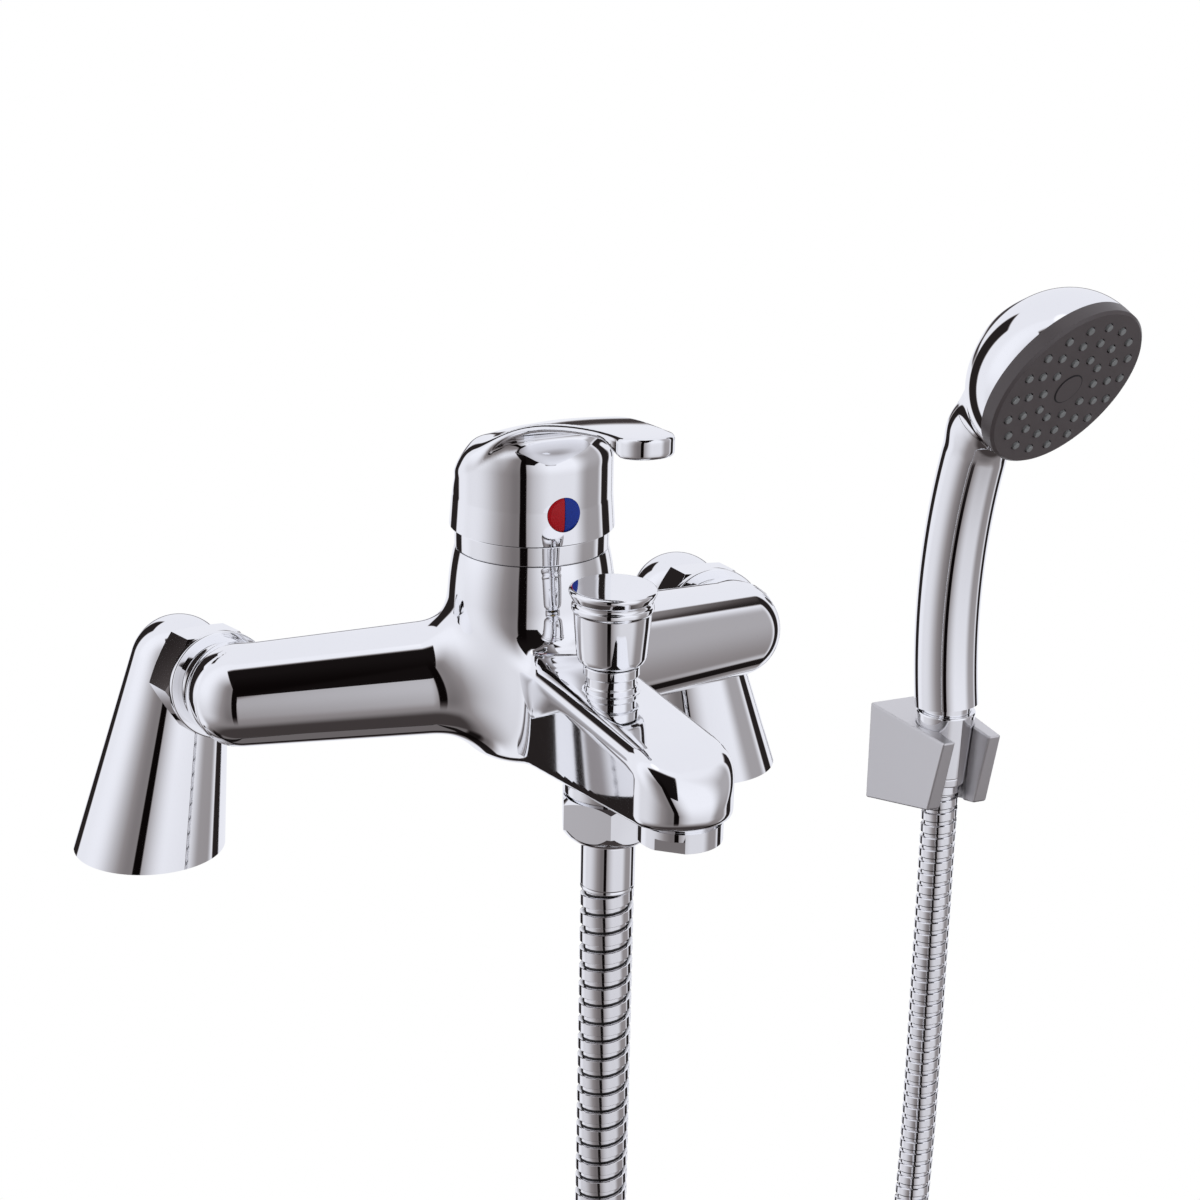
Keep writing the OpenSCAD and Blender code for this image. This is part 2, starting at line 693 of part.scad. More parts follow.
module diverter_knob()
    color(chrome) translate([0, -diverter_y, knob_z]) difference() {
        union() {
            cylinder(d1 = knob_dia - 4.8, d2 = knob_dia - 3, h = knob_h * 0.68);
            translate([0, 0, knob_h * 0.68]) cylinder(d1 = knob_dia - 3, d2 = knob_dia - 1.6, h = knob_h * 0.08);
            translate([0, 0, knob_h * 0.76]) cylinder(d = knob_dia - 1.6, h = knob_h * 0.06);
            translate([0, 0, knob_h * 0.82]) cylinder(d = knob_dia - 3, h = knob_h * 0.06);
            translate([0, 0, knob_h * 0.88]) cylinder(d1 = knob_dia - 2, d2 = knob_dia, h = knob_h * 0.08);
            translate([0, 0, knob_h * 0.96]) cylinder(d = knob_dia, h = knob_h * 0.04);
        }
        translate([0, 0, -cut]) cylinder(r = spindle_r, h = knob_h * 0.6 + cut);
    }

// Aerator at the nose and the threaded outlet for the hose.
module aerator_housing()
    color(chrome) translate([0, -outlet_y, 0]) difference() {
        union() {
            translate([0, 0, nose_rim_z]) cylinder(r = aerator_dia / 2 - 1, h = 6);
            translate([0, 0, nose_rim_z - aerator_h]) intersection() {
                cylinder(d = aerator_dia, h = aerator_h);
                translate([-aerator_dia, -aerator_dia / 2 + 0.7, 0]) cube([2 * aerator_dia, aerator_dia - 1.4, 3]);
            }
            translate([0, 0, nose_rim_z - aerator_h + 3]) cylinder(d = aerator_dia, h = aerator_h - 3);
        }
        translate([0, 0, nose_rim_z - aerator_h - cut]) cylinder(r = aerator_dia / 2 - 3.4, h = 20);
        translate([0, 0, nose_rim_z - aerator_h + 1.2]) cylinder(r = aerator_dia / 2 - 2.4, h = 20);
    }

module aerator_insert()
    color(acetal) translate([0, -outlet_y, nose_rim_z - aerator_h + 1.2]) difference() {
        cylinder(r = aerator_dia / 2 - 2.4 - run, h = aerator_h + 4.8);
        for (n = [0:2], a = [0:60 / max(n, 1):359])
            rotate(a) translate([n * 2.6, 0, -cut]) cylinder(r = 0.8, h = 20, $fn = 16);
    }

module aerator_washer()
    color(rubber) translate([0, -outlet_y, nose_rim_z + 6]) ring(aerator_dia / 2 - 1, aerator_dia / 2 - 4, 2);

module hose_outlet()
    color(chrome) translate([0, -diverter_y, 0]) difference() {
        union() {
            translate([0, 0, nipple_z]) cylinder(r = hose_thread_r, h = boss_z - nipple_z);
            translate([0, 0, nipple_z]) cylinder(r = hose_thread_r - 2.4, h = nipple_top_z - nipple_z);
        }
        translate([0, 0, nipple_z - cut]) cylinder(r = hose_bore / 2, h = 40);
    }

module outlet_washer()
    color(rubber) translate([0, -diverter_y, nipple_z - hose_washer_t])
        ring(hose_thread_r - 0.4, hose_bore / 2, hose_washer_t);

module hose_nut()
    color(chrome) translate([0, -diverter_y, 0]) difference() {
        translate([0, 0, nut_z]) rotate(-22) hexagon(hose_nut_af, hose_nut_h - pass);
        translate([0, 0, nut_z - cut]) cylinder(r = hose_neck_r + run, h = 40);
        translate([0, 0, nut_z + hose_lip_t]) cylinder(r = hose_thread_r + run, h = 40);
    }

// Ferrule: sleeve over the hose end, a neck through the nut, and a head that the nut pulls on.
module ferrule(z, sleeve, gap, head_r) {
    difference() {
        union() {
            translate([0, 0, z]) cylinder(d = ferrule_dia, h = sleeve - pass);
            translate([0, 0, z]) cylinder(r = hose_neck_r, h = sleeve + gap);
            translate([0, 0, z + sleeve + gap]) cylinder(r = head_r, h = hose_head_t);
        }
        translate([0, 0, z - cut]) cylinder(r = hose_bore / 2, h = sleeve + gap + hose_head_t + 2 * cut);
    }
}

module hose_ferrule_lower()
    color(chrome) translate([0, -diverter_y, 0])
        ferrule(hose_top_z, ferrule_len, hose_lip_t, hose_thread_r - 0.4);

module hose_ferrule_upper()
    color(chrome) translate(socket)
        ferrule(hose_end_z, cone_z - hose_end_z, upper_head_z - cone_z, handset_thread_r - 0.4);

module conical_nut()
    color(chrome) translate(socket) difference() {
        translate([0, 0, cone_z]) cylinder(d1 = cone_low_dia, d2 = cone_top_dia, h = cone_len);
        translate([0, 0, cone_z - cut]) cylinder(r = hose_neck_r + run, h = cone_len + 2 * cut);
        translate([0, 0, upper_head_z]) cylinder(r = handset_thread_r + run, h = cone_len);
    }

module handset_washer()
    color(rubber) translate(socket) translate([0, 0, upper_washer_z])
        ring(handset_thread_r - 0.4, hose_bore / 2, hose_washer_t);

// Hand shower, drawn in its own frame: +X is the way it faces, the handle's lower end is the origin.
module handset_frame()
    translate(socket) translate([0, 0, handle_z]) rotate(handset_turn - 90) children();

// Face frame: +Z is the way the water leaves, the face centre is the origin.
module face_frame()
    translate([face_reach, 0, face_rise]) rotate([0, 90 + face_tilt, 0]) children();

module handle_tube(r, start, stop) {
    bend = [handle_bend_r * cos(handle_lean), handle_bend_r * sin(handle_lean)];
    translate([bend.x, 0, bend.y]) rotate([90, 0, 0]) rotate(180 - start)
        rotate_extrude(angle = start - stop) translate([handle_bend_r, 0]) circle(r = r);
}

head_wall = 2.4;
handle_wall = 2.4;
handle_stop = 16;
plug_turn = 2;

// Dome of the head: a rounder side that runs smoothly into a flatter crown.
crown_gap = 2.5;
side_r = head_depth - crown_gap;
side_x = face_dia / 2 - side_r;
crown_r = (side_x * side_x + head_depth * head_depth - side_r * side_r) / (2 * crown_gap);
crown_x = crown_r * side_x / (crown_r - side_r);

module dome(wall) {
    translate([0, 0, -face_t]) rotate([180, 0, 0]) rotate_extrude() union() {
        intersection() {
            translate([side_x, 0]) circle(r = side_r - wall);
            square([100, 100]);
        }
        intersection() {
            translate([0, head_depth - crown_r]) circle(r = crown_r - wall);
            square([crown_x * (1 - wall / crown_r), head_depth - wall * 1.25]);
        }
    }
}

// Neck between the end of the handle's curve and the dome, and the waterway through it.
function handle_at(a) = [handle_bend_r * (cos(handle_lean) - cos(a)), 0,
    handle_bend_r * (sin(handle_lean) + sin(a))];
function behind_face(d) = [face_reach - d * cos(face_tilt), 0, face_rise + d * sin(face_tilt)];

module neck() {
    top = behind_face(face_t + head_depth * 0.5);
    translate(handle_at(handle_stop)) sphere(r = handle_dia / 2 + proud);
    aim(handle_at(handle_stop), top)
        cylinder(r1 = handle_dia / 2 - proud, r2 = handle_dia / 2 + 3, h = norm(top - handle_at(handle_stop)));
}

module handset_shell()
    color(chrome) handset_frame() difference() {
        union() {
            handle_tube(handle_dia / 2, -handle_lean, handle_stop);
            neck();
            face_frame() dome(0);
        }
        handle_tube(handle_dia / 2 - handle_wall, -handle_lean - 1, handle_stop - 0.5);
        aim(handle_at(handle_stop - 2), behind_face(face_t + head_depth / 2)) cylinder(r = 6.5, h = 30);
        face_frame() {
            dome(head_wall);
            translate([0, 0, -face_t]) cylinder(r = face_dia / 2 - head_wall, h = 100);
        }
    }

module handset_inlet()
    color(chrome) difference() {
        union() {
            handset_frame() handle_tube(handle_dia / 2 - handle_wall - run, -handle_lean, plug_turn - handle_lean);
            translate(socket) translate([0, 0, inlet_end_z])
                cylinder(r = handset_thread_r, h = handle_z - inlet_end_z + 0.6);
        }
        translate(socket) translate([0, 0, inlet_end_z - cut]) cylinder(r = hose_bore / 2, h = 60);
    }

// Nozzle rings: count and radius of each.
nozzle_rings = [[18, face_dia * 0.4], [14, face_dia * 0.3], [10, face_dia * 0.19]];

module nozzle_places()
    for (n = nozzle_rings, k = [0:n[0] - 1]) rotate(360 * (k + 0.5) / n[0]) translate([n[1], 0, 0]) children();

module spray_face()
    color(dark) handset_frame() face_frame() difference() {
        union() {
            translate([0, 0, -face_t]) cylinder(d = face_dia, h = face_t - 1);
            translate([0, 0, -1]) cylinder(d1 = face_dia, d2 = face_dia - 2, h = 1);
            translate([0, 0, -cut]) cylinder(d = face_dia * 0.17, h = cut + 0.3);
        }
        translate([0, 0, -face_t - cut]) cylinder(d = face_dia - 5, h = face_t - 2 + cut);
        nozzle_places() translate([0, 0, -face_t]) cylinder(d = nozzle_dia + 0.8, h = 2 * face_t, $fn = 16);
    }

module spray_nozzles()
    color(nozzle_grey) handset_frame() face_frame() {
        translate([0, 0, -3.2]) cylinder(d = face_dia - 7, h = 1.2);
        nozzle_places() translate([0, 0, -2.5]) cylinder(d1 = nozzle_dia, d2 = nozzle_dia - 0.8, h = 3, $fn = 16);
    }

// Wall bracket: a block that narrows to the front, with a tapered socket open at the front.
module bracket_plan()
    polygon([
        [-bracket_back_w / 2, wall_gap], [bracket_back_w / 2, wall_gap],
        [bracket_front_w / 2, -cheek_reach], [-bracket_front_w / 2, -cheek_reach]
    ]);

module bracket_side()
    polygon([
        [-cheek_reach, 0], [wall_gap, 0], [wall_gap, -bracket_h], [-cheek_reach + 8, -bracket_h * 0.75]
    ]);

module wall_bracket()
    color(chrome) translate(socket) difference() {
        intersection() {
            translate([0, 0, bracket_top_z - 100]) linear_extrude(100) bracket_plan();
            translate([-50, 0, bracket_top_z]) rotate([90, 0, 90]) linear_extrude(100) bracket_side();
        }
        translate([0, 0, cone_z]) cylinder(d1 = cone_low_dia + 2 * run, d2 = cone_top_dia + 2 * run, h = cone_len);
        translate([0, 0, cone_z - 60]) cylinder(d = cone_low_dia + 2 * run, h = 60.01);
        translate([-hose_slot_w / 2, -60, bracket_top_z - 100]) cube([hose_slot_w, 60, 200]);
        for (z = [0, 1]) translate([0, 0, bracket_top_z - 10 - z * screw_pitch]) rotate([-90, 0, 0]) {
            cylinder(d = screw_dia, h = 100);
            cylinder(d = 2 * screw_dia, h = wall_gap - 8);
        }
    }

// Hose route. Each point: the way along the line between the two ends (0 to 360),
// the height, and the step sideways that lets the coil pass itself.
route_left = [
    [0, -10, 0], [0, -50, 0], [0, -90, 0], [0, -130, 0], [0, -170, 0], [2, -211, 0], [8, -251, -1],
    [20, -290, -3], [37, -327, -5], [60, -360, -7], [89, -388, -8], [123, -409, -9], [152, -419, -9]
];
route_right = [[208, -419, 9], [242, -411, 9], [276, -396, 8], [306, -372, 6], [332, -340, 3], [350, -304, 1]];
route_end = [[360, -280, 0], [360, -266, 0]];
route_top = [[360, -230, 0], [360, -194, 0], [360, -158, 0], [360, -122, 0]];
coil_z = -420;
coil_r = 77;
coil_step = 9;
coil_lead = 14;
coil_rings = 124;

hose_start = [0, -diverter_y, 0];
hose_line = [socket_x, socket_y + diverter_y, 0] / 360;
hose_side = [hose_line.y, -hose_line.x, 0] / norm(hose_line);
function routed(k) = [for (q = k) hose_start + q[0] * hose_line + [0, 0, q[1]] + q[2] * hose_side];
function bend(a, b, c, d, t) = 0.5 * (2 * b + (c - a) * t + (2 * a - 5 * b + 4 * c - d) * t * t
    + (3 * b - a - 3 * c + d) * t * t * t);
function smooth(k, per) = [
    for (i = [0:len(k) - 2], j = [0:per - 1])
        bend(k[max(i - 1, 0)], k[i], k[i + 1], k[min(i + 2, len(k) - 1)], j / per),
    k[len(k) - 1]
];
function turn_at(f) = [180 + coil_r * sin(360 * f), coil_z + coil_r * (1 - cos(360 * f)),
    coil_step * (2 * f * f * (3 - 2 * f) - 1)];

left_line = smooth(routed(concat([[0, hose_top_z, 0]], route_left, [[180 - coil_lead, coil_z, -coil_step]])), 10);
coil_line = routed(concat(
    [for (i = [0:3]) [180 - coil_lead * (1 - i / 4), coil_z, -coil_step]],
    [for (i = [0:coil_rings]) turn_at(i / coil_rings)],
    [for (i = [1:4]) [180 + coil_lead * i / 4, coil_z, coil_step]]
));
right_line = smooth(routed(concat([[180 + coil_lead, coil_z, coil_step]], route_right, route_end)), 8);
top_line = smooth(routed(concat([[360, route_end[1][1], 0]], route_top, [[360, hose_end_z, 0]])), 10);

// Least gap of the coil to itself, on its points a quarter turn or more apart.
coil_gap = min([
    for (i = [0:3:len(coil_line) - 1], j = [i + 30:len(coil_line) - 1]) norm(coil_line[i] - coil_line[j])
]) - hose_dia;
hose_length = ferrule_len + cone_z - hose_end_z
    + path_len(left_line) + path_len(coil_line) + path_len(right_line) + path_len(top_line);
echo(coil_gap = coil_gap, hose_length = hose_length);

function path_len(k) = path_sum([for (i = [1:len(k) - 1]) norm(k[i] - k[i - 1])]);
function path_sum(v) = v * [for (x = v) 1];

// Ribbed tube along a line of ring centres, with its bore. Odd rings are the ribs.
sides = 8;
function way(k, i) = k[min(i + 1, len(k) - 1)] - k[max(i - 1, 0)];
function unit(v) = v / norm(v);
function hoop(k, i, r) = let (t = unit(way(k, i)), a = unit(hose_side - (hose_side * t) * t), b = cross(t, a))
    [for (j = [0:sides - 1]) k[i] + r * (cos(360 * j / sides) * a + sin(360 * j / sides) * b)];

module ribbed_tube(k) {
    last = len(k) - 1;
    inner = [for (i = [0:4:last]) i];
    outside = [for (i = [0:last]) each hoop(k, i, hose_dia / 2 - (i % 2 == 0 ? rib_depth : 0))];
    inside = [for (i = inner) each hoop(k, i, hose_bore / 2)];
    base = len(outside);
    end = base + (len(inner) - 1) * sides;
    polyhedron(
        points = concat(outside, inside),
        faces = concat(
            [for (i = [0:last - 1], j = [0:sides - 1]) let (m = (j + 1) % sides, a = i * sides, b = a + sides)
                each [[a + j, b + j, b + m], [a + j, b + m, a + m]]],
            [for (i = [0:len(inner) - 2], j = [0:sides - 1])
                let (m = (j + 1) % sides, a = base + i * sides, b = a + sides)
                each [[a + j, a + m, b + m], [a + j, b + m, b + j]]],
            [for (j = [0:sides - 1]) let (m = (j + 1) % sides)
                each [[j, m, base + m], [j, base + m, base + j]]],
            [for (j = [0:sides - 1]) let (m = (j + 1) % sides, a = last * sides)
                each [[a + j, end + m, a + m], [a + j, end + j, end + m]]]
        )
    );
}

module hose_left_run() color(steel) ribbed_tube(left_line);
module hose_coil() color(steel) ribbed_tube(coil_line);
module hose_right_run() color(steel) ribbed_tube(right_line);
module hose_top_run() color(steel) ribbed_tube(top_line);

// Tie: a strap around the two passes of the coil at its lowest place.
module tie_outline(r) {
    square([2 * coil_step, 2 * r], center = true);
    for (x = [-1, 1]) translate([x * coil_step, 0]) circle(r = r);
}

module hose_tie()
    color(rubber) translate(hose_start + 180 * hose_line + [0, 0, coil_z])
        rotate(atan2(hose_line.y, hose_line.x) + 90) rotate([90, 0, 0]) translate([0, 0, -4])
            linear_extrude(8) difference() {
                tie_outline(hose_dia / 2 + 2);
                tie_outline(hose_dia / 2 + 0.3);
            }

mixer_body();
leg_left();
leg_right();
foot_seal_left();
foot_seal_right();
union_nut_left();
union_nut_right();
union_washer_left();
union_washer_right();
cartridge_barrel();
fixed_disc();
moving_disc();
cartridge_carrier();
pivot_pin();
lever_stem();
cartridge_nut();
collar_ring();
lever_handle();
grub_screw();
indicator_hot();
indicator_cold();
diverter_bonnet();
diverter_o_ring();
diverter_seat();
diverter_spindle();
diverter_valve();
diverter_knob();
aerator_housing();
aerator_insert();
aerator_washer();
hose_outlet();
outlet_washer();
hose_nut();
hose_ferrule_lower();
hose_ferrule_upper();
conical_nut();
handset_washer();
handset_shell();
handset_inlet();
spray_face();
spray_nozzles();
wall_bracket();
hose_left_run();
hose_coil();
hose_right_run();
hose_top_run();
hose_tie();
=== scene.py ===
# Bath shower mixer with hose, hand shower and wall bracket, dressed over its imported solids.
# Metres, the solids' own frame: +Z up, front is -Y, origin on the deck between the two inlets.
import math
import bmesh
import bpy
import numpy as np
from mathutils import Matrix, Vector


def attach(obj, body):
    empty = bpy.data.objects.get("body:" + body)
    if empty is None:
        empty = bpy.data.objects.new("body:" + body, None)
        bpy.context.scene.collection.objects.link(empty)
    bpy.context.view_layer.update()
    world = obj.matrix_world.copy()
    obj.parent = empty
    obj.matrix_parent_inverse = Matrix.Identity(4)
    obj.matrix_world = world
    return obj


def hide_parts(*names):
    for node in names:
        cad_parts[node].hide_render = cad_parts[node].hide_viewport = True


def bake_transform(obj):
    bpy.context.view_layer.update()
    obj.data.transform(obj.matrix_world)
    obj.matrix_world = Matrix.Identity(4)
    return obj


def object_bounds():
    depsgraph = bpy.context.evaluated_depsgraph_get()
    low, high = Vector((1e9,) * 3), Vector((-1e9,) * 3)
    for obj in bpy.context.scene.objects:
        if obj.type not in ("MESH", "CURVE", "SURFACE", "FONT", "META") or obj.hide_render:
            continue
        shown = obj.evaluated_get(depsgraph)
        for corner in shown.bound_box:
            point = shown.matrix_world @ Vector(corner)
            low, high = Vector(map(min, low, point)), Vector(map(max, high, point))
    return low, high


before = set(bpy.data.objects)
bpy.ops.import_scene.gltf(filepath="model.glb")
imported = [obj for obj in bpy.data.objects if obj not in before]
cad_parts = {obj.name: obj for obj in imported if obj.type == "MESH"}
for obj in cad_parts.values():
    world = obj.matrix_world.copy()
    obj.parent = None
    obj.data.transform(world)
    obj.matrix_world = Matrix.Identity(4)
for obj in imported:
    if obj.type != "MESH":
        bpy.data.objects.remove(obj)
cad_low, cad_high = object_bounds()
scene = bpy.context.scene

# Camera: a long lens in front of the mixer, to the left and above.
# The frame's middle is moved to the right, because the mixer stands left of the hand shower.
camera = bpy.data.objects.new("camera", bpy.data.cameras.new("camera"))
scene.collection.objects.link(camera)
camera.location = (-0.2590, -0.6854, 0.3183)
camera.rotation_euler = (math.radians(70.9), 0, math.radians(-21.2))
camera.data.sensor_width = 36
camera.data.lens = 78
camera.data.shift_x = 0.1183
camera.data.clip_end = 60
scene.camera = camera


# Studio: a white tent round the mixer with dark gaps between its panels, which the plating mirrors,
# and a plain pale floor under the lowest piece.
class Shade:
    """A socket of a node tree that takes part in Python arithmetic."""

    def __init__(self, tree, socket=None):
        self.tree = tree
        self.socket = socket

    def make(self, kind, settings, sockets, out=0):
        node = self.tree.nodes.new(kind)
        for key, value in settings.items():
            if key == "stops":
                while len(node.color_ramp.elements) < len(value):
                    node.color_ramp.elements.new(1)
                for element, (place, colour) in zip(node.color_ramp.elements, value):
                    element.position = place
                    element.color = (*colour, 1)
            else:
                setattr(node, key, value)
        for key, value in sockets.items():
            if isinstance(value, Shade):
                self.tree.links.new(value.socket, node.inputs[key])
            else:
                node.inputs[key].default_value = value
        return Shade(self.tree, node.outputs[out] if node.outputs else None)

    def maths(self, operation, *parts):
        return self.make("ShaderNodeMath", {"operation": operation}, dict(enumerate(parts)))

    def __add__(self, other):
        return self.maths("ADD", self, other)

    def __sub__(self, other):
        return self.maths("SUBTRACT", self, other)

    def __mul__(self, other):
        return self.maths("MULTIPLY", self, other)

    def __rsub__(self, other):
        return self.maths("SUBTRACT", other, self)

    __radd__ = __add__
    __rmul__ = __mul__

    def rise(self, low, high):
        """0 below low, 1 above high, with a soft step between."""
        return self.make(
            "ShaderNodeMapRange", {"interpolation_type": "SMOOTHSTEP"}, {0: self, 1: low, 2: high})

    def band(self, low, high, soft):
        """1 between low and high, 0 outside, with both edges soft."""
        return self.rise(low - soft, low + soft) * (1 - self.rise(high - soft, high + soft))

    def mixed(self, a, b):
        """Colour a where this is 0, and colour b where it is 1."""
        return self.make("ShaderNodeMix", {"data_type": "RGBA"}, {0: self, 6: a, 7: b}, out=2)


studio = bpy.data.worlds.new("studio")
scene.world = studio
studio.use_nodes = True
studio.node_tree.nodes.clear()
tent = Shade(studio.node_tree)
toward = tent.make("ShaderNodeTexCoord", {}, {}, out="Generated")
camera_right = (0.9323, -0.3616, 0)
camera_near = (-0.3616, -0.9323, 0)
dot = {"operation": "DOT_PRODUCT"}
right = tent.make("ShaderNodeVectorMath", dot, {0: toward, 1: camera_right}, out="Value")
near = tent.make("ShaderNodeVectorMath", dot, {0: toward, 1: camera_near}, out="Value")
height = tent.make("ShaderNodeSeparateXYZ", {}, {0: toward}, out=2)
# Degrees round the tent from the camera, positive to the right, and degrees above the horizon.
turn = tent.maths("ARCTAN2", right, near) * (180 / math.pi)
climb = tent.maths("ARCSINE", height) * (180 / math.pi)
rear = tent.maths("ABSOLUTE", turn).rise(100, 116)
# In front the walls are pale, shaded on the left, with one dark stripe beside the camera,
# greyer far to the right and towards the floor, and dark below.
walls = 0.92 - 0.66 * turn.band(-84, -4, 30) * turn.rise(-95, -8)
walls = walls * (1 - turn.band(-19, -7.5, 1))
walls = walls * (1 - 0.4 * turn.band(70, 114, 12))
walls = walls * (0.78 + 0.22 * climb.rise(-45, 12))
under = 0.13 + 0.25 * climb.rise(-64, -46)
front = walls + (0.9 - walls) * climb.rise(30, 70)
front = under + (front - under) * climb.rise(-54, -28)
# A dark boom hangs over the front of the mixer, from above its lever out towards the camera.
boom_aside = tent.maths("DIVIDE", right, height).band(-0.50, 0.38, 0.02)
boom_along = tent.maths("DIVIDE", near, height).band(0.17, 3.3, 0.06)
# Behind, the tent is pale, with a dark line at the horizon and a dark floor.
back = 0.87 - 0.6 * (1 - climb.rise(-50, -40))
back = back * (1 - 0.85 * climb.band(-6, 0, 1.5) * tent.maths("ABSOLUTE", turn).rise(150, 165))
back = back * (1 - 0.95 * climb.band(-62, -52, 2))
level = front + (back - front) * rear
# Dark gaps between the tent's panels, behind the mixer on both sides.
gaps = turn.band(114, 134, 2) * (1 - climb.rise(34, 44))
gaps = tent.maths("MAXIMUM", gaps, turn.band(-155, -130, 2) * (1 - climb.rise(33, 36)))
level = level * (1 - 0.95 * gaps)
level = level * (1 - 0.985 * boom_aside * boom_along * height.rise(0.02, 0.05))
level = level + (1.0 - level) * climb.rise(80, 84)
# Darks are a little warm and lights a little cold.
greys = [
    (0, (0.003, 0.002, 0.002)), (0.15, (0.055, 0.046, 0.046)), (0.45, (0.26, 0.24, 0.245)),
    (0.92, (0.86, 0.87, 0.93)), (1, (1.0, 1.0, 1.02))]
glow = level.make("ShaderNodeValToRGB", {"stops": greys}, {0: level})
seen = tent.make("ShaderNodeLightPath", {}, {}, out="Is Camera Ray")
glow = seen.mixed(glow, (1, 1, 1, 1))
light = tent.make("ShaderNodeBackground", {}, {"Color": glow, "Strength": 1.08})
tent.make("ShaderNodeOutputWorld", {}, {"Surface": light})
scene.view_settings.view_transform = "Standard"


def blank(name):
    """A new material with no nodes yet, and a Shade to fill it with."""
    material = bpy.data.materials.new(name)
    material.use_nodes = True
    material.node_tree.nodes.clear()
    return material, Shade(material.node_tree)


floor_mesh = bpy.data.meshes.new("floor")
bm = bmesh.new()
below_all = Matrix.Translation((0, 0, cad_low.z - 0.001))
bmesh.ops.create_grid(bm, x_segments=1, y_segments=1, size=20, matrix=below_all)
bm.to_mesh(floor_mesh)
bm.free()
floor = bpy.data.objects.new("floor", floor_mesh)
scene.collection.objects.link(floor)
pale, paint = blank("pale_floor")
white = paint.make("ShaderNodeEmission", {}, {"Strength": 1.0})
paint.make("ShaderNodeOutputMaterial", {}, {"Surface": white})
floor_mesh.materials.append(pale)
floor.visible_glossy = False
floor.visible_diffuse = False
floor.visible_shadow = False


# Legs: two leaning brass castings, each with a round foot on the deck and a ball elbow on top.
# They are cast, ground smooth and chrome plated, with the inlet thread and a seal groove underneath.
def plated(name, tint, roughness, streak=0.012):
    """Bright chrome plate: a little uneven in tone and polish, as a rinsed tap is."""
    material, coat = blank(name)
    place = coat.make("ShaderNodeTexCoord", {}, {}, out="Object")
    cloud = coat.make("ShaderNodeTexNoise", {}, {"Vector": place, "Scale": 38, "Detail": 2})
    fine = coat.make("ShaderNodeTexNoise", {}, {"Vector": place, "Scale": 900, "Detail": 1})
    tone = cloud.mixed((*[c * 0.965 for c in tint], 1), (*tint, 1))
    gloss = roughness + streak * cloud.rise(0.42, 0.72) + 0.006 * fine
    ripple = coat.make("ShaderNodeBump", {}, {"Strength": 0.012, "Distance": 0.0002, "Height": cloud})
    return material, coat, {"Base Color": tone, "Metallic": 1.0, "Roughness": gloss, "Normal": ripple}


def coated(material, coat, sockets):
    """Closes a material with its surface."""
    surface = coat.make("ShaderNodeBsdfPrincipled", {}, sockets)
    coat.make("ShaderNodeOutputMaterial", {}, {"Surface": surface})
    return material


def added(name, mesh, material, body, *nodes):
    """Links a finished mesh as a piece of the object, riding on a body in place of its solids."""
    mesh.materials.append(material)
    piece = bpy.data.objects.new(name, mesh)
    scene.collection.objects.link(piece)
    if nodes:
        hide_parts(*nodes)
    if body:
        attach(piece, body)
    return piece


def moulded(name, colour, roughness, grain, depth):
    """Moulded or ground material: tone and gloss vary a little, over a fine grain."""
    material, coat = blank(name)
    place = coat.make("ShaderNodeTexCoord", {}, {}, out="Object")
    cloud = coat.make("ShaderNodeTexNoise", {}, {"Vector": place, "Scale": 60, "Detail": 3})
    fine = coat.make("ShaderNodeTexNoise", {}, {"Vector": place, "Scale": grain, "Detail": 2})
    tone = cloud.mixed((*[c * 0.88 for c in colour], 1), (*[c * 1.08 for c in colour], 1))
    gloss = roughness - 0.05 + 0.1 * fine
    pits = coat.make("ShaderNodeBump", {}, {"Strength": 0.25, "Distance": depth, "Height": fine})
    return material, coat, {"Base Color": tone, "Roughness": gloss, "Normal": pits}


def dress(material, *names):
    """Gives their finish to solids that stay as they are."""
    for name in names:
        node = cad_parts[name]
        if not node.material_slots:
            node.data.materials.append(material)
        for slot in node.material_slots:
            slot.material = material


def elbow_of(side):
    """The middle of a leg's elbow in millimetres, on the left (-1) or the right (1)."""
    return np.array((side * 79.5, 0, 55.5))


def arm_end_of(side):
    """The middle of the ball that ends the body's arm on that side."""
    return np.array((side * 74.6, -47.0, 61.6))


def round_cone(p, a, b, ra, rb):
    """Distance to the skin of a ball at a that is drawn out to a ball at b."""
    a, b = np.array(a), np.array(b)
    ba = b - a
    l2 = ba @ ba
    rr = ra - rb
    a2 = l2 - rr * rr
    pa = p - a
    y = pa @ ba
    z = y - l2
    x2 = ((pa * l2 - np.outer(y, ba)) ** 2).sum(1)
    y2, z2 = y * y * l2, z * z * l2
    k = np.sign(rr) * rr * rr * x2
    side = (np.sqrt(x2 * a2 / l2) + y * rr) / l2 - ra
    far = np.sqrt(x2 + z2) / l2 - rb
    close = np.sqrt(x2 + y2) / l2 - ra
    return np.where(np.sign(z) * a2 * z2 > k, far, np.where(np.sign(y) * a2 * y2 < k, close, side))


def rod(p, a, b, r):
    """Distance to a plain round bar from a to b."""
    a, b = np.array(a), np.array(b)
    axis = (b - a) / np.linalg.norm(b - a)
    t = (p - a) @ axis
    out = np.linalg.norm(p - a - np.outer(t, axis), axis=1) - r
    return np.maximum(out, np.maximum(-t, t - np.linalg.norm(b - a)))


def soft_min(a, b, k):
    """Joins two skins with a fillet about k wide."""
    h = np.clip(0.5 + 0.5 * (b - a) / k, 0, 1)
    return b + (a - b) * h - k * h * (1 - h)


def soft_max(a, b, k):
    """Keeps what two skins share, with the edge rounded about k wide."""
    return -soft_min(-a, -b, k)


def slope(skin, p):
    """How a skin's distance changes along x, y and z: the way out of the casting."""
    step = np.eye(3) * 2e-5
    return np.stack([skin(p + d) - skin(p - d) for d in step], axis=1) / 4e-5


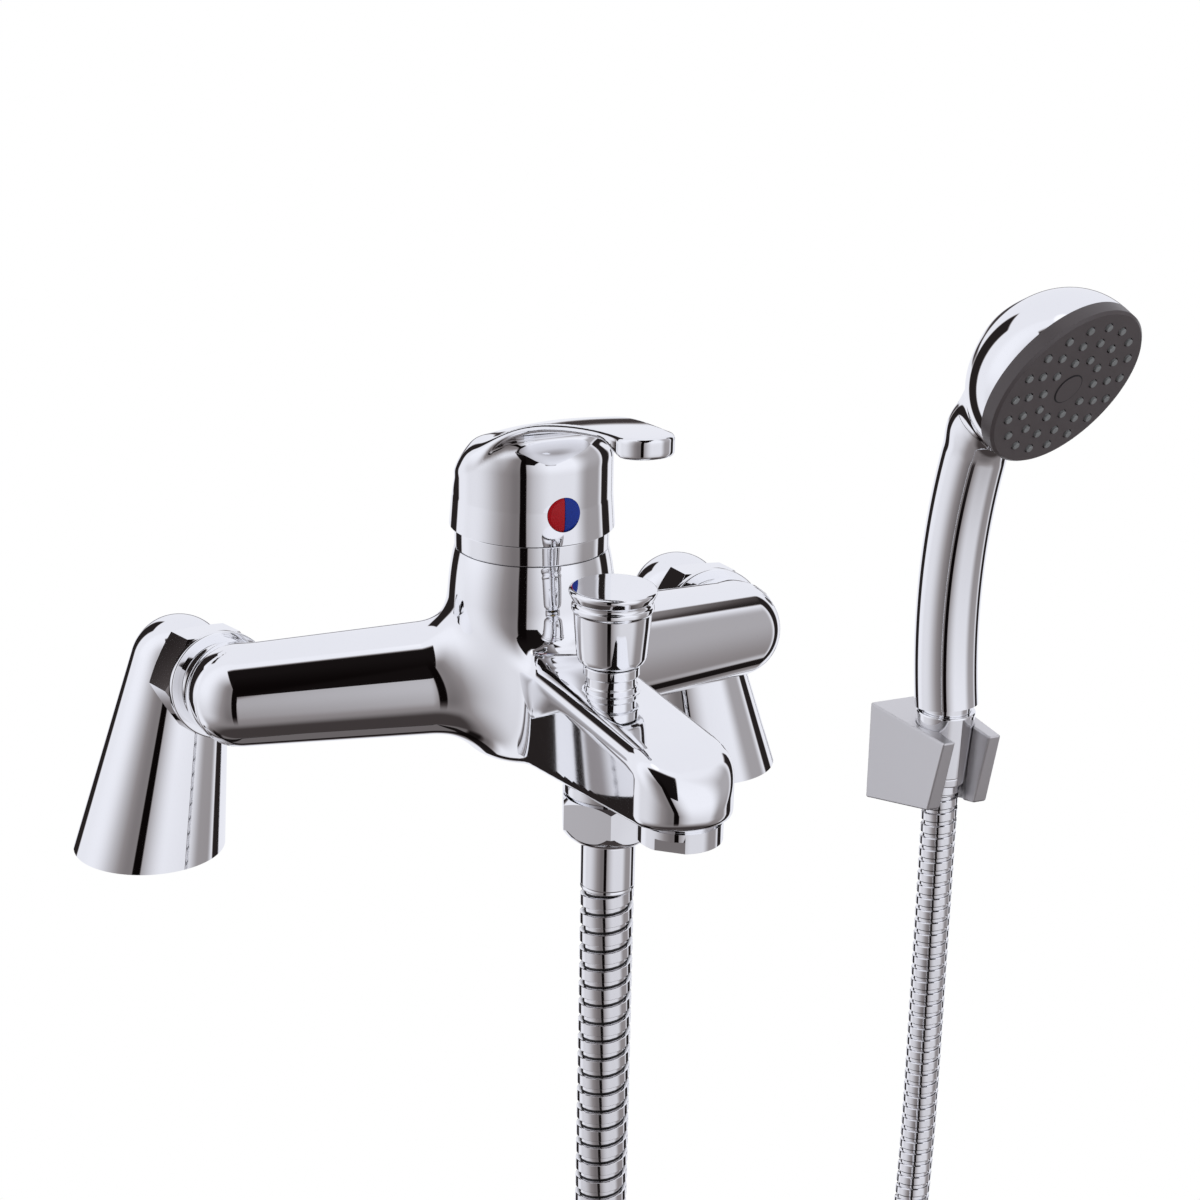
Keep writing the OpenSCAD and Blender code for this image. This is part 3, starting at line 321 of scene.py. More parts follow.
def between(a, b):
    """Puts a shape's own +Z on the line from a to b, in millimetres, about the line's middle."""
    a, b = Vector(a) / 1000, Vector(b) / 1000
    return Matrix.Translation((a + b) / 2) @ Vector((0, 0, 1)).rotation_difference(b - a).to_matrix().to_4x4()


def stock(bm, a, b, ra, rb):
    """Adds a round bar of stock, with a ball on its far end, for a casting to be drawn from."""
    length = (Vector(b) - Vector(a)).length / 1000
    bmesh.ops.create_cone(
        bm, cap_ends=True, segments=48, radius1=ra / 1000, radius2=rb / 1000, depth=length,
        matrix=between(a, b))
    far_end = Matrix.Translation(Vector(b) / 1000)
    bmesh.ops.create_icosphere(bm, subdivisions=4, radius=rb / 1000, matrix=far_end)


def cast(bm, skin, grain, rounds=7):
    """Melts overlapping stock into one even mesh and draws that onto the casting's skin."""
    mesh = bpy.data.meshes.new("melt")
    bm.to_mesh(mesh)
    bm.free()
    melt = bpy.data.objects.new("melt", mesh)
    scene.collection.objects.link(melt)
    pot = melt.modifiers.new("pot", "REMESH")
    pot.mode = "VOXEL"
    pot.voxel_size = grain
    bm = bmesh.new()
    bm.from_mesh(melt.evaluated_get(bpy.context.evaluated_depsgraph_get()).data)
    bpy.data.objects.remove(melt)
    bpy.data.meshes.remove(mesh)
    for _ in range(rounds):
        bmesh.ops.smooth_vert(
            bm, verts=bm.verts[:], factor=0.5, use_axis_x=True, use_axis_y=True, use_axis_z=True)
        p = np.array([v.co[:] for v in bm.verts])
        for _ in range(3):
            g = slope(skin, p)
            p -= g * (np.clip(skin(p), -0.003, 0.003) / np.maximum((g * g).sum(1), 0.2))[:, None]
        for v, q in zip(bm.verts, p):
            v.co = q
    bmesh.ops.recalc_face_normals(bm, faces=bm.faces[:])
    return bm


def faced(bm, point, normal, edge=0.0003):
    """Faces a casting off flat, on the side that the normal points to, and breaks the edge."""
    bmesh.ops.bisect_plane(
        bm, geom=bm.verts[:] + bm.edges[:] + bm.faces[:], dist=1e-6, plane_co=point, plane_no=normal,
        clear_outer=True)
    rim = [e for e in bm.edges if e.is_boundary]
    rim_points = list(dict.fromkeys(v for e in rim for v in e.verts))
    bmesh.ops.remove_doubles(bm, verts=rim_points, dist=0.00025)
    rim = [e for e in bm.edges if e.is_boundary]
    bmesh.ops.edgeloop_fill(bm, edges=rim)
    if edge:
        bmesh.ops.bevel(
            bm, geom=rim, offset=edge, offset_type="OFFSET", segments=2, profile=0.5, affect="EDGES",
            clamp_overlap=True, material=-1)
    bmesh.ops.recalc_face_normals(bm, faces=bm.faces[:])


def carved(bm, operation, *tools):
    """Cuts a shape with others, and gives the result back to go on with."""
    parts = []
    for shape in (bm, *tools):
        mesh = bpy.data.meshes.new("stock")
        shape.to_mesh(mesh)
        shape.free()
        parts.append(bpy.data.objects.new("stock", mesh))
        scene.collection.objects.link(parts[-1])
    for tool in parts[1:]:
        cut = parts[0].modifiers.new("cut", "BOOLEAN")
        cut.operation = operation
        cut.object = tool
    result = bmesh.new()
    result.from_mesh(parts[0].evaluated_get(bpy.context.evaluated_depsgraph_get()).data)
    for part in parts:
        mesh = part.data
        bpy.data.objects.remove(part)
        bpy.data.meshes.remove(mesh)
    return result


def drill(a, b, r):
    """A round cutter from a to b, in millimetres."""
    bm = bmesh.new()
    length = (Vector(b) - Vector(a)).length / 1000
    bmesh.ops.create_cone(
        bm, cap_ends=True, segments=72, radius1=r / 1000, radius2=r / 1000, depth=length,
        matrix=between(a, b))
    return bm


def corners_of(mesh):
    """For each corner of each face: its point, and the face's normal and area."""
    corner = np.empty(len(mesh.loops), int)
    mesh.loops.foreach_get("vertex_index", corner)
    flat = np.empty(len(mesh.polygons) * 3)
    mesh.polygons.foreach_get("normal", flat)
    size = np.empty(len(mesh.polygons))
    mesh.polygons.foreach_get("area", size)
    count = np.empty(len(mesh.polygons), int)
    mesh.polygons.foreach_get("loop_total", count)
    return corner, np.repeat(flat.reshape(-1, 3), count, axis=0), np.repeat(size, count)


def polished(name, bm, skin, material, body, *nodes):
    """Gives a casting its true smooth normals, and leaves its machined faces flat."""
    mesh = bpy.data.meshes.new(name)
    bm.to_mesh(mesh)
    bm.free()
    mesh.shade_smooth()
    p = np.empty(len(mesh.vertices) * 3)
    mesh.vertices.foreach_get("co", p)
    p = p.reshape(-1, 3)
    g = slope(skin, p)
    g /= np.linalg.norm(g, axis=1, keepdims=True)
    on_skin = np.abs(skin(p)) < 1.5e-4
    corner, flat, _ = corners_of(mesh)
    smooth = on_skin[corner] & ((flat * g[corner]).sum(1) > 0.6)
    mesh.normals_split_custom_set(np.where(smooth[:, None], g[corner], flat).tolist())
    return added(name, mesh, material, body, *nodes)


chrome = coated(*plated("chrome_plate", (0.93, 0.935, 0.955), 0.03))
rubber = coated(*moulded("seal_rubber", (0.02, 0.02, 0.022), 0.55, 1400, 0.0001))
flare_r, elbow_r, neck_r = 24.3, 14.2, 9.6
inlet_r, inlet_deep = 12.06, 16
seal_in, seal_out, seal_deep = 13.66, 18.66, 2
up = np.array((0, 0, 1))
for side, name in ((-1, "leg_left"), (1, "leg_right")):
    foot = np.array((side * 90, 0, 0))
    elbow = elbow_of(side)
    neck = elbow + (arm_end_of(side) - elbow) * 0.44
    # The flare is drawn on to 20 mm under the deck, and faced off at the deck.
    flare = foot - (elbow - foot) * 20 / elbow[2]

    def leg_skin(p):
        q = p * 1000
        leg = round_cone(q, flare, elbow, flare_r, elbow_r)
        return soft_min(leg, rod(q, elbow, neck, neck_r), 1.2) / 1000

    bm = bmesh.new()
    stock(bm, flare, elbow, flare_r, elbow_r)
    stock(bm, elbow, neck, neck_r, neck_r)
    bm = cast(bm, leg_skin, 0.0011)
    faced(bm, (0, 0, 0), (0, 0, -1), 0.0005)
    seal_core = drill(foot - 2 * up, foot + (seal_deep + 1) * up, seal_in)
    seal_groove = carved(drill(foot - up, foot + seal_deep * up, seal_out), "DIFFERENCE", seal_core)
    inlet = drill(foot - up, foot + inlet_deep * up, inlet_r)
    bm = carved(bm, "DIFFERENCE", inlet, seal_groove)
    polished(name, bm, leg_skin, chrome, "mixer", name)

dress(rubber, "foot_seal_left", "foot_seal_right")


# Unions: a hexagon nut on each leg draws it against the arm's flange, with a washer inside.
# The nuts are turned from bar, their corners chamfered, and plated.
def eased(bm, soft):
    """Breaks a shape's sharp edges."""
    bmesh.ops.recalc_face_normals(bm, faces=bm.faces[:])
    corners = [e for e in bm.edges if len(e.link_faces) == 2 and e.calc_face_angle(0) > math.radians(20)]
    bmesh.ops.bevel(
        bm, geom=corners, offset=soft, offset_type="OFFSET", segments=3, profile=0.5, affect="EDGES",
        clamp_overlap=True, material=-1)


def finished(name, bm, material, body, *nodes, soft=0.0003):
    """Breaks a machined piece's sharp edges and keeps its flats flat."""
    bmesh.ops.recalc_face_normals(bm, faces=bm.faces[:])
    if soft:
        eased(bm, soft)
    mesh = bpy.data.meshes.new(name)
    bm.to_mesh(mesh)
    bm.free()
    mesh.shade_smooth()
    corner, flat, size = corners_of(mesh)
    lean = np.zeros((len(mesh.vertices), 3))
    np.add.at(lean, corner, flat * size[:, None])
    lean = lean[corner] / np.maximum(np.linalg.norm(lean[corner], axis=1, keepdims=True), 1e-15)
    near_flat = (lean * flat).sum(1) > math.cos(math.radians(32))
    mesh.normals_split_custom_set(np.where(near_flat[:, None], lean, flat).tolist())
    return added(name, mesh, material, body, *nodes)


def lathe(outline, place=Matrix.Identity(4), closed=False):
    """Spins radius and height pairs, in millimetres, round the piece's own axis."""
    bm = bmesh.new()
    verts = [bm.verts.new((r / 1000, 0, z / 1000)) for r, z in outline]
    edges = [bm.edges.new(pair) for pair in zip(verts, verts[1:])]
    if closed:
        edges.append(bm.edges.new((verts[-1], verts[0])))
    bmesh.ops.spin(
        bm, geom=verts + edges, cent=(0, 0, 0), axis=(0, 0, 1), angle=2 * math.pi, steps=96, use_merge=True)
    bmesh.ops.remove_doubles(bm, verts=bm.verts[:], dist=1e-6)
    bmesh.ops.recalc_face_normals(bm, faces=bm.faces[:])
    bmesh.ops.transform(bm, matrix=place, verts=bm.verts[:])
    return bm


def hexagon(flats, low, high, bore, place, nose=()):
    """A hexagon bar between two heights, bored through, its corners turned off at both ends or to a nose."""
    bm = bmesh.new()
    across = flats / 2 / math.cos(math.pi / 6) / 1000
    middle = Matrix.Translation((0, 0, (low + high) / 2000))
    bmesh.ops.create_cone(
        bm, cap_ends=True, segments=6, radius1=across, radius2=across, depth=(high - low) / 1000,
        matrix=middle)
    end, half = flats * 0.505, (high - low) / 2
    nose = [(r, low + z) for r, z in nose] or [(end, low)]
    turned = lathe([(0, low), *nose, (end + 1.5 * half, low + half), (end, high), (0, high)])
    bm = carved(bm, "INTERSECT", turned)
    bm = carved(bm, "DIFFERENCE", drill((0, 0, low - 5), (0, 0, high + 5), bore))
    bmesh.ops.transform(bm, matrix=place, verts=bm.verts[:])
    return bm


for side, name in ((-1, "left"), (1, "right")):
    elbow = Vector(elbow_of(side))
    way = Vector(arm_end_of(side)) - elbow
    heading = Matrix.Rotation(math.atan2(way.y, way.x), 4, "Z")
    tilt = heading @ Matrix.Rotation(math.acos(way.z / way.length), 4, "Y")
    union = Matrix.Translation(elbow / 1000) @ tilt
    nut = hexagon(27, 15.75, 30.85, 9.65, union)
    finished("union_nut_" + name, nut, chrome, "mixer", "union_nut_" + name)
    flange = lathe([(9, 31.25), (15.2, 31.25), (15.2, 33.65), (9, 33.65)], union, closed=True)
    finished("arm_flange_" + name, flange, chrome, "mixer", soft=0.0005)

dress(rubber, "union_washer_left", "union_washer_right")


# Body: one hollow brass casting of tower, two swept arms and spout, run together with wide fillets.
# The tower's top is faced off for the collar, and the nose is bored from below for the aerator.
# A turned boss for the hose stands out under the spout.
tower_y, tower_r, tower_top = -72.4, 20.8, 104
arm_root = (0, tower_y, 68.5)
reach, nose_r, spout_top = 94, 12.7, 81
nose_y = tower_y - reach
over_valve = Matrix.Translation((0, -0.1251, 0))


def body_skin(p):
    q = p * 1000
    x, y, z = q.T
    ahead = tower_y - y
    out = np.hypot(x, ahead)
    # The tower flares a little to its foot, and is rounded off below like a bowl.
    tower = 0.98 * (out - tower_r - 2.6 * (1 - np.exp(-np.clip(tower_top - z, -8, 60) / 10)))
    bowl = np.hypot(out, np.minimum(z - 80, 0)) - 33
    skin = soft_max(tower, bowl, 9)
    for side in (-1, 1):
        arm_end = arm_end_of(side)
        stub = arm_end + (elbow_of(side) - arm_end) * 0.33
        arm = soft_min(round_cone(q, arm_root, arm_end, 16.5, 14), rod(q, arm_end, stub, 13.4), 2)
        skin = soft_min(skin, arm, 8)
    # The spout has flat sides, a round nose, a top that drops to the nose and a rising underside.
    sides = np.abs(x) - nose_r - 0.004 * (reach - ahead)
    nose = np.where(ahead < reach, sides, np.hypot(x, ahead - reach) - nose_r)
    top = z - spout_top + 0.028 * np.clip(ahead - 89, 0, None) ** 2
    low = 47.7 + 0.153 * ahead - z
    spout = np.maximum(soft_max(soft_max(nose, top, 5), low, 3), -ahead)
    return soft_min(skin, spout, 11) / 1000


bm = bmesh.new()
stock(bm, (0, tower_y, 52), (0, tower_y, 112), 23, 20)
stock(bm, (0, tower_y, 80), (0, tower_y, 66), 20, 19)
for side in (-1, 1):
    stock(bm, arm_root, arm_end_of(side), 17, 14)
    stock(bm, arm_end_of(side), (side * 76.0, -33.5, 59.8), 13.4, 13)
block = Matrix.Translation((0, -0.119, 0.067)) @ Matrix.Diagonal((0.025, 0.095, 0.026, 1))
bmesh.ops.create_cube(bm, size=1, matrix=block)
bmesh.ops.create_cone(
    bm, cap_ends=True, segments=48, radius1=0.0125, radius2=0.0125, depth=0.016,
    matrix=Matrix.Translation((0, nose_y / 1000, 0.070)))
bm = cast(bm, body_skin, 0.0008)
faced(bm, (0, 0, tower_top / 1000), (0, 0, 1), 0.0004)
bm = carved(bm, "DIFFERENCE", drill((0, nose_y, 50), (0, nose_y, 62.6), 10.9))
polished("mixer_body", bm, body_skin, chrome, "mixer", "mixer_body")
boss = lathe([(0, 58), (11.7, 58), (11.7, 53.36), (0, 53.36)], over_valve)
finished("hose_boss", boss, chrome, "mixer", soft=0.0006)


# Cartridge: an acetal barrel with two ceramic discs, a carrier that turns and a brass stem that tips.
# A brass nut holds it down in the tower; none of it shows until the lever is off.
acetal = coated(*moulded("acetal", (0.78, 0.78, 0.74), 0.38, 700, 0.00004))
ceramic = coated(*moulded("ground_ceramic", (0.86, 0.86, 0.83), 0.16, 1600, 0.00002))
brass = coated(*plated("machined_brass", (0.80, 0.60, 0.28), 0.22, 0.08))
steel = coated(*plated("ground_steel", (0.56, 0.57, 0.60), 0.2, 0.06))
dress(acetal, "cartridge_barrel", "cartridge_carrier")
dress(ceramic, "fixed_disc", "moving_disc")
dress(brass, "lever_stem", "cartridge_nut")
dress(steel, "pivot_pin")

# Collar: a turned and plated ring that covers the cartridge nut between the tower and the lever cap.
# Its lower edge leaves the fine seam seen on the tower.
over_tower = Matrix.Translation((0, tower_y / 1000, 0))
low, high, bore = tower_top + 0.05, 109.6, 18.6
collar = lathe([(bore, low), (tower_r, low), (tower_r, high), (bore, high)], over_tower, closed=True)
finished("collar_ring", collar, chrome, "mixer", "collar_ring", soft=0.0004)


# Lever: a zinc casting of a domed cap and a blade that sweeps forward and up from its crown.
# It is hollow under the skirt, plated all over, and held on the stem by a grub screw.
skirt_low, cap_r, cap_top = 110.1, 22.2, 135.2
tip_at, tip_r = 69, 7.2
mark_y, mark_z = -92.2, 118.3
# The blade's top from behind the tower's middle to beyond its tip: millimetres ahead, and height.
blade_top = np.polyfit([-22, -10, 6, 28, 49, 66, 84], [127.0, 132.5, 139.2, 145.9, 150.0, 152.1, 153.4], 3)


def lever_skin(p):
    x, y, z = p.T * 1000
    ahead = tower_y - y
    out = np.hypot(x, ahead)
    t = np.clip(ahead, 0, 95)
    crest = np.polyval(blade_top, np.clip(ahead, -30, 95))
    # The cap is round-shouldered behind, where it runs into the blade, and squarer in front.
    square = np.clip((ahead + 9) / 16, 0, 1)
    square = square * square * (3 - 2 * square)
    dome = crest - 2.6 + (cap_top - crest + 2.6) * square
    cap = soft_max(out - cap_r + 0.068 * np.clip(z - skirt_low, -6, 9), z - dome, 16 - 10 * square)
    # The blade narrows from the cap's width to a round tip, is crowned across and thickest at the tip.
    taper = np.clip((t - 36) / 34, 0, 1)
    wide = 9.2 - 2 * taper * taper * (3 - 2 * taper) + 10.8 * np.exp(-((t / 22) ** 1.6))
    plan = np.where(ahead < tip_at, np.abs(x) - wide, np.hypot(x, ahead - tip_at) - tip_r)
    plan = np.where(ahead < 0, out - 20, plan)
    top = crest - (0.003 + 0.013 * np.exp(-((t / 20) ** 2))) * np.minimum(x * x, 400)
    tip = np.clip((t - 58) / 13, 0, 1)
    tip = tip * tip * (3 - 2 * tip)
    thick = 1.9 + 1.6 * np.clip(1 - (x / wide) ** 2, 0, 1) * (1 - tip) + 3.5 * tip
    blade = soft_max(soft_max(plan, z - top, 1.3 + 7 * np.exp(-((t / 8) ** 2))), top - thick - z, 1.3)
    # A keel fills the corner between the cap and the blade.
    keel = soft_max(soft_max(np.abs(x) - wide + 6, z - crest + 4, 3), np.maximum(ahead - 15, -ahead - 12), 5)
    return soft_min(soft_min(cap, keel, 6), blade, 4) / 1000


# The casting is drawn from chips of stock that fill its skin, coarse in the cap and fine in the blade.
bm = bmesh.new()
corner = np.array([(x, y, z) for x in (-1, 1) for y in (-1, 1) for z in (-1, 1)])
sides = np.array([(0, 1, 3, 2), (4, 6, 7, 5), (0, 4, 5, 1), (2, 3, 7, 6), (0, 2, 6, 4), (1, 5, 7, 3)])
for low, high, chip, inside in ((105, 138, 1.6, 0.6), (126, 155, 0.8, 0.15)):
    grid = np.meshgrid(np.arange(-22.4, 22.5, chip), np.arange(-152, -48, chip), np.arange(low, high, chip))
    spots = np.stack(grid, -1).reshape(-1, 3) / 1000
    spots = spots[lever_skin(spots) < -inside / 1000]
    points = (spots[:, None] + corner * chip * 0.53 / 1000).reshape(-1, 3)
    heap = bpy.data.meshes.new("chips")
    faces = (np.arange(len(spots))[:, None, None] * 8 + sides).reshape(-1, 4)
    heap.from_pydata(points.tolist(), [], faces.tolist())
    bm.from_mesh(heap)
    bpy.data.meshes.remove(heap)
bm = cast(bm, lever_skin, 0.00065, 10)
faced(bm, (0, 0, skirt_low / 1000), (0, 0, -1), 0.0003)
skirt_bore = drill((0, tower_y, 104), (0, tower_y, 115.1), 21.15)
mark_bore = drill((0, mark_y, mark_z), (0, -104, mark_z), 4.65)
bm = carved(bm, "DIFFERENCE", skirt_bore, mark_bore)
polished("lever_handle", bm, lever_skin, chrome, "lever", "lever_handle")
dress(steel, "grub_screw")

# Hot and cold mark: a round plug of two half discs that hides the grub screw, red left and blue right.
# Each half is clear-coated plastic with a slightly crowned face.
mark = Matrix.Translation((0, mark_y / 1000, mark_z / 1000)) @ Matrix.Rotation(math.pi / 2, 4, "X")
red, blue = (0.62, 0.012, 0.02), (0.014, 0.05, 0.40)
for side, node, colour in ((-1, "indicator_hot", red), (1, "indicator_cold", blue)):
    bm = lathe([(0, 2.3), (2.4, 2.25), (3.9, 2.05), (4.6, 1.6), (4.6, 0), (0, 0)], mark)
    faced(bm, (side * 0.00004, 0, 0), (-side, 0, 0), 0)
    material, coat, sockets = moulded(node + "_lacquer", colour, 0.3, 500, 0.00002)
    sockets["Specular IOR Level"] = 0.2
    finished(node, bm, coated(material, coat, sockets), "lever", node, soft=0.00012)


# Diverter: a plated knob that is pulled up to send water to the hose, on a spindle through a ribbed bonnet.
# The valve washers and the seat below it are inside the spout.
dress(brass, "diverter_spindle", "diverter_seat")
dress(rubber, "diverter_o_ring", "diverter_valve")
bonnet = lathe([
    (0, 88), (6.9, 88), (7.2, 87.7), (7.2, 85.5), (6.9, 85.2), (6.4, 85.1), (6.4, 82.9), (6.8, 82.6),
    (6.8, 81.2), (7.6, 81.1), (7.6, 80.6), (0, 80.6)], over_valve)
finished("diverter_bonnet", bonnet, chrome, "mixer", "diverter_bonnet", soft=0.00015)
knob = lathe([
    (0, 108.4), (6, 108.42), (10.5, 108.5), (11.2, 108.0), (11.2, 107.3), (10.5, 105.7), (9.9, 105.3),
    (9.9, 104.4), (10.5, 104.0), (10.5, 102.8), (9.95, 102.3), (9.75, 99), (9.0, 90.6), (8.5, 89.2),
    (7.4, 88.4), (0, 88.4)], over_valve)
finished("diverter_knob", knob, chrome, "diverter", "diverter_knob", soft=0.0003)

# Aerator: a turned and plated housing under the nose, with two spanner flats and a plastic mesh inside.
# A washer seals it in the bore.
under_nose = Matrix.Translation((0, nose_y / 1000, 0))
housing = lathe(
    [(7.1, 57.6), (10.5, 57.6), (10.5, 62.6), (9.5, 62.6), (9.5, 66), (7.1, 66)], under_nose, closed=True)
flats_turn = under_nose @ Matrix.Rotation(math.radians(-40), 4, "Z")
flats = []
for side in (-1, 1):
    flat = bmesh.new()
    place = flats_turn @ Matrix.Translation((0, side * 0.0118, 0.0581))
    place = place @ Matrix.Diagonal((0.03, 0.004, 0.005, 1))
    bmesh.ops.create_cube(flat, size=1, matrix=place)
    flats.append(flat)
housing = carved(housing, "DIFFERENCE", *flats)
finished("aerator_housing", housing, chrome, "mixer", "aerator_housing", soft=0.0002)
dress(acetal, "aerator_insert")
dress(rubber, "aerator_washer")

# Hose joint: a threaded outlet screwed into the boss, and a hexagon nut that pulls the ferrule up to it.
# The nuts are plated brass, the ferrules are plated sleeves crimped over the hose ends,
# and at the other end a conical nut joins the hose to the hand shower and sits in the bracket.
dress(chrome, "hose_outlet")
dress(rubber, "outlet_washer")
place = over_valve @ Matrix.Rotation(math.radians(-22), 4, "Z")
nose = [(8.3, 0), (9.8, 0.5), (11.1, 1.5), (12.2, 2.9), (13.1, 4.6)]
nut = hexagon(23.6, 40.36, 52.96, 5.25, place, nose)
finished("hose_nut", nut, chrome, "mixer", "hose_nut", soft=0.0002)
ferrule = lathe([
    (4.1, 43.7), (5.2, 43.7), (5.2, 40.3), (6.7, 40.0), (7.1, 39.5), (7.1, 27.6), (6.9, 27.3), (7.1, 27.0),
    (7.1, 26.5), (6.8, 26.3), (4.1, 26.3)], over_valve, closed=True)
finished("hose_ferrule_lower", ferrule, chrome, "mixer", "hose_ferrule_lower", soft=0.00015)
socket_x, socket_y = 258.5, 124
in_socket = Matrix.Translation((socket_x / 1000, socket_y / 1000, 0))
ferrule = lathe([
    (4.1, -64.8), (9.1, -64.8), (9.1, -66), (5.2, -66), (5.2, -82.7), (6.8, -82.8), (7.1, -83.2),
    (7.1, -86.2), (6.8, -86.59), (4.1, -86.59)], in_socket, closed=True)
finished("hose_ferrule_upper", ferrule, chrome, "hose_end", "hose_ferrule_upper", soft=0.00015)
cone = lathe([
    (5.3, -82.59), (8.4, -82.59), (8.8, -82.1), (9.1, -79.3), (8.95, -79.0), (9.15, -78.7),
    (11.45, -53.2), (11.2, -52.59), (9.6, -52.59), (9.6, -64.4), (5.3, -64.4)], in_socket, closed=True)
finished("conical_nut", cone, chrome, "handset", "conical_nut", soft=0.00025)
dress(rubber, "handset_washer")
dress(chrome, "handset_inlet")


# Hose: 1.5 m of chromed steel strip wound into a tube, each turn hooked into the next.
# It hangs from the mixer, is tied in one round turn below, and rises to the hand shower.
hose_r = 0.007
hose_top = over_valve.translation.copy()
# The way from the outlet to the bracket, seen from above.
hose_span = 0.360
hose_way = Vector((0.2585, 0.2491, 0)) / hose_span
hose_aside = Vector((hose_way.y, -hose_way.x, 0)).normalized()
# The route's points: way along towards the hand shower, height, and step aside.
drop_left = [
    (0, 0.02636, 0), (0, -0.010, 0), (0, -0.050, 0), (0, -0.090, 0), (0, -0.130, 0), (0, -0.170, 0),
    (0.002, -0.211, 0), (0.008, -0.251, -0.001), (0.020, -0.290, -0.003), (0.037, -0.327, -0.005),
    (0.060, -0.360, -0.007), (0.089, -0.388, -0.008), (0.123, -0.409, -0.009), (0.152, -0.419, -0.009),
    (0.166, -0.420, -0.009)]
rise_right = [
    (0.194, -0.420, 0.009), (0.208, -0.419, 0.009), (0.242, -0.411, 0.009), (0.276, -0.396, 0.008),
    (0.306, -0.372, 0.006), (0.330, -0.340, 0.003), (0.3455, -0.306, 0.001), (0.3540, -0.280, 0),
    (0.3567, -0.266, 0)]
rise_top = [
    (0.3567, -0.266, 0), (0.3594, -0.240, 0), (0.360, -0.212, 0), (0.360, -0.170, 0),
    (0.360, -0.128, 0), (0.360, -0.08659, 0)]


def hung(knots, per):
    """A smooth line through points of the route, with so many points for each stretch."""
    k = np.array([hose_top + a * hose_way + Vector((0, 0, z)) + n * hose_aside for a, z, n in knots])
    line = []
    for i in range(len(k) - 1):
        a, b, c, d = k[max(i - 1, 0)], k[i], k[i + 1], k[min(i + 2, len(k) - 1)]
        for t in np.arange(per) / per:
            line.append(0.5 * (
                2 * b + (c - a) * t + (2 * a - 5 * b + 4 * c - d) * t**2 + (3 * b - a - 3 * c + d) * t**3))
    return np.array(line + [k[-1]])


turn_along, turn_low, turn_r, turn_aside = 0.180, -0.420, 0.077, 0.009
turn_points = 124
round_turn = [(turn_along, turn_low, -turn_aside)]
for i in range(1, turn_points + 1):
    f = i / turn_points
    angle = 2 * math.pi * f
    round_turn.append((
        turn_along + turn_r * math.sin(angle), turn_low + turn_r * (1 - math.cos(angle)),
        turn_aside * (2 * f * f * (3 - 2 * f) - 1)))
hose_line = np.vstack([hung(drop_left, 10), hung(round_turn, 1), hung(rise_right, 8), hung(rise_top, 10)[1:]])
# Both ends are pushed one turn of strip into their ferrules.
pushed_in = [0, 0, 0.0056]
hose_line = np.vstack([hose_line[0] + pushed_in, hose_line, hose_line[-1] + pushed_in])
steps = np.linalg.norm(np.diff(hose_line, axis=0), axis=1)
along = np.concatenate([[0], np.cumsum(steps)])
keep = np.concatenate([[True], steps > 1e-7])
hose_line, along = hose_line[keep], along[keep]
hose_len = along[-1]


def hose_at(way):
    """Points of the hose's middle line, at distances along it."""
    return np.stack([np.interp(way, along, hose_line[:, i]) for i in range(3)], axis=1)


# One turn of strip, as shares of the pitch and of the radius: a rounded raised band, then the lower
# edge that the next turn hooks over. A few turns are wound, and doubled three times.
wound, facets = 35, 20
turns = 8 * wound
pitch = hose_len / turns
strip = [
    (0, 0.84), (0.015, 0.97), (0.04, 1.0), (0.32, 1.0), (0.60, 1.0), (0.625, 0.985), (0.64, 0.885),
    (0.655, 0.87), (0.78, 0.87), (0.90, 0.87), (0.915, 0.84), (1, 0.84)]
groove_top, groove_soft = 0.845, 0.02
bm = bmesh.new()
groove = bm.verts.layers.float.new("groove")
verts = [bm.verts.new((hose_r * r, 0, pitch * f)) for f, r in strip]
edges = [bm.edges.new(pair) for pair in zip(verts, verts[1:])]
bmesh.ops.spin(
    bm, geom=verts + edges, cent=(0, 0, 0), axis=(0, 0, 1), dvec=(0, 0, pitch / facets),
    angle=2 * math.pi * wound, steps=wound * facets, use_merge=False)
for count in (wound, 2 * wound, 4 * wound):
    copy = bmesh.ops.duplicate(bm, geom=bm.verts[:] + bm.edges[:] + bm.faces[:])["geom"]
    copied = [v for v in copy if isinstance(v, bmesh.types.BMVert)]
    bmesh.ops.translate(bm, verts=copied, vec=(0, 0, pitch * count))
bmesh.ops.remove_doubles(bm, verts=bm.verts[:], dist=1e-5)
bmesh.ops.holes_fill(bm, edges=[e for e in bm.edges if e.is_boundary], sides=0)
bmesh.ops.recalc_face_normals(bm, faces=bm.faces[:])
# Marks the crease between turns, where shade is painted on further down.
for v in bm.verts:
    raised = (math.hypot(v.co.x, v.co.y) / hose_r - groove_top) / groove_soft
    v[groove] = 1 - min(max(raised, 0), 1)
hose_mesh = bpy.data.meshes.new("hose")
bm.to_mesh(hose_mesh)
bm.free()
straight = np.empty(len(hose_mesh.vertices) * 3)
hose_mesh.vertices.foreach_get("co", straight)
straight = straight.reshape(-1, 3)
at = np.clip(straight[:, 2], 0, hose_len)
centre = hose_at(at)
course = hose_at(at + 0.004) - hose_at(at - 0.004)
course = course / np.linalg.norm(course, axis=1, keepdims=True)
across = np.array(hose_aside) - course * (course @ np.array(hose_aside))[:, None]
across /= np.linalg.norm(across, axis=1, keepdims=True)
bent = centre + straight[:, :1] * across + straight[:, 1:2] * np.cross(course, across)
hose_mesh.vertices.foreach_set("co", bent.ravel())
hose_mesh.shade_smooth()
hose_mesh.set_sharp_from_angle(angle=math.radians(32))

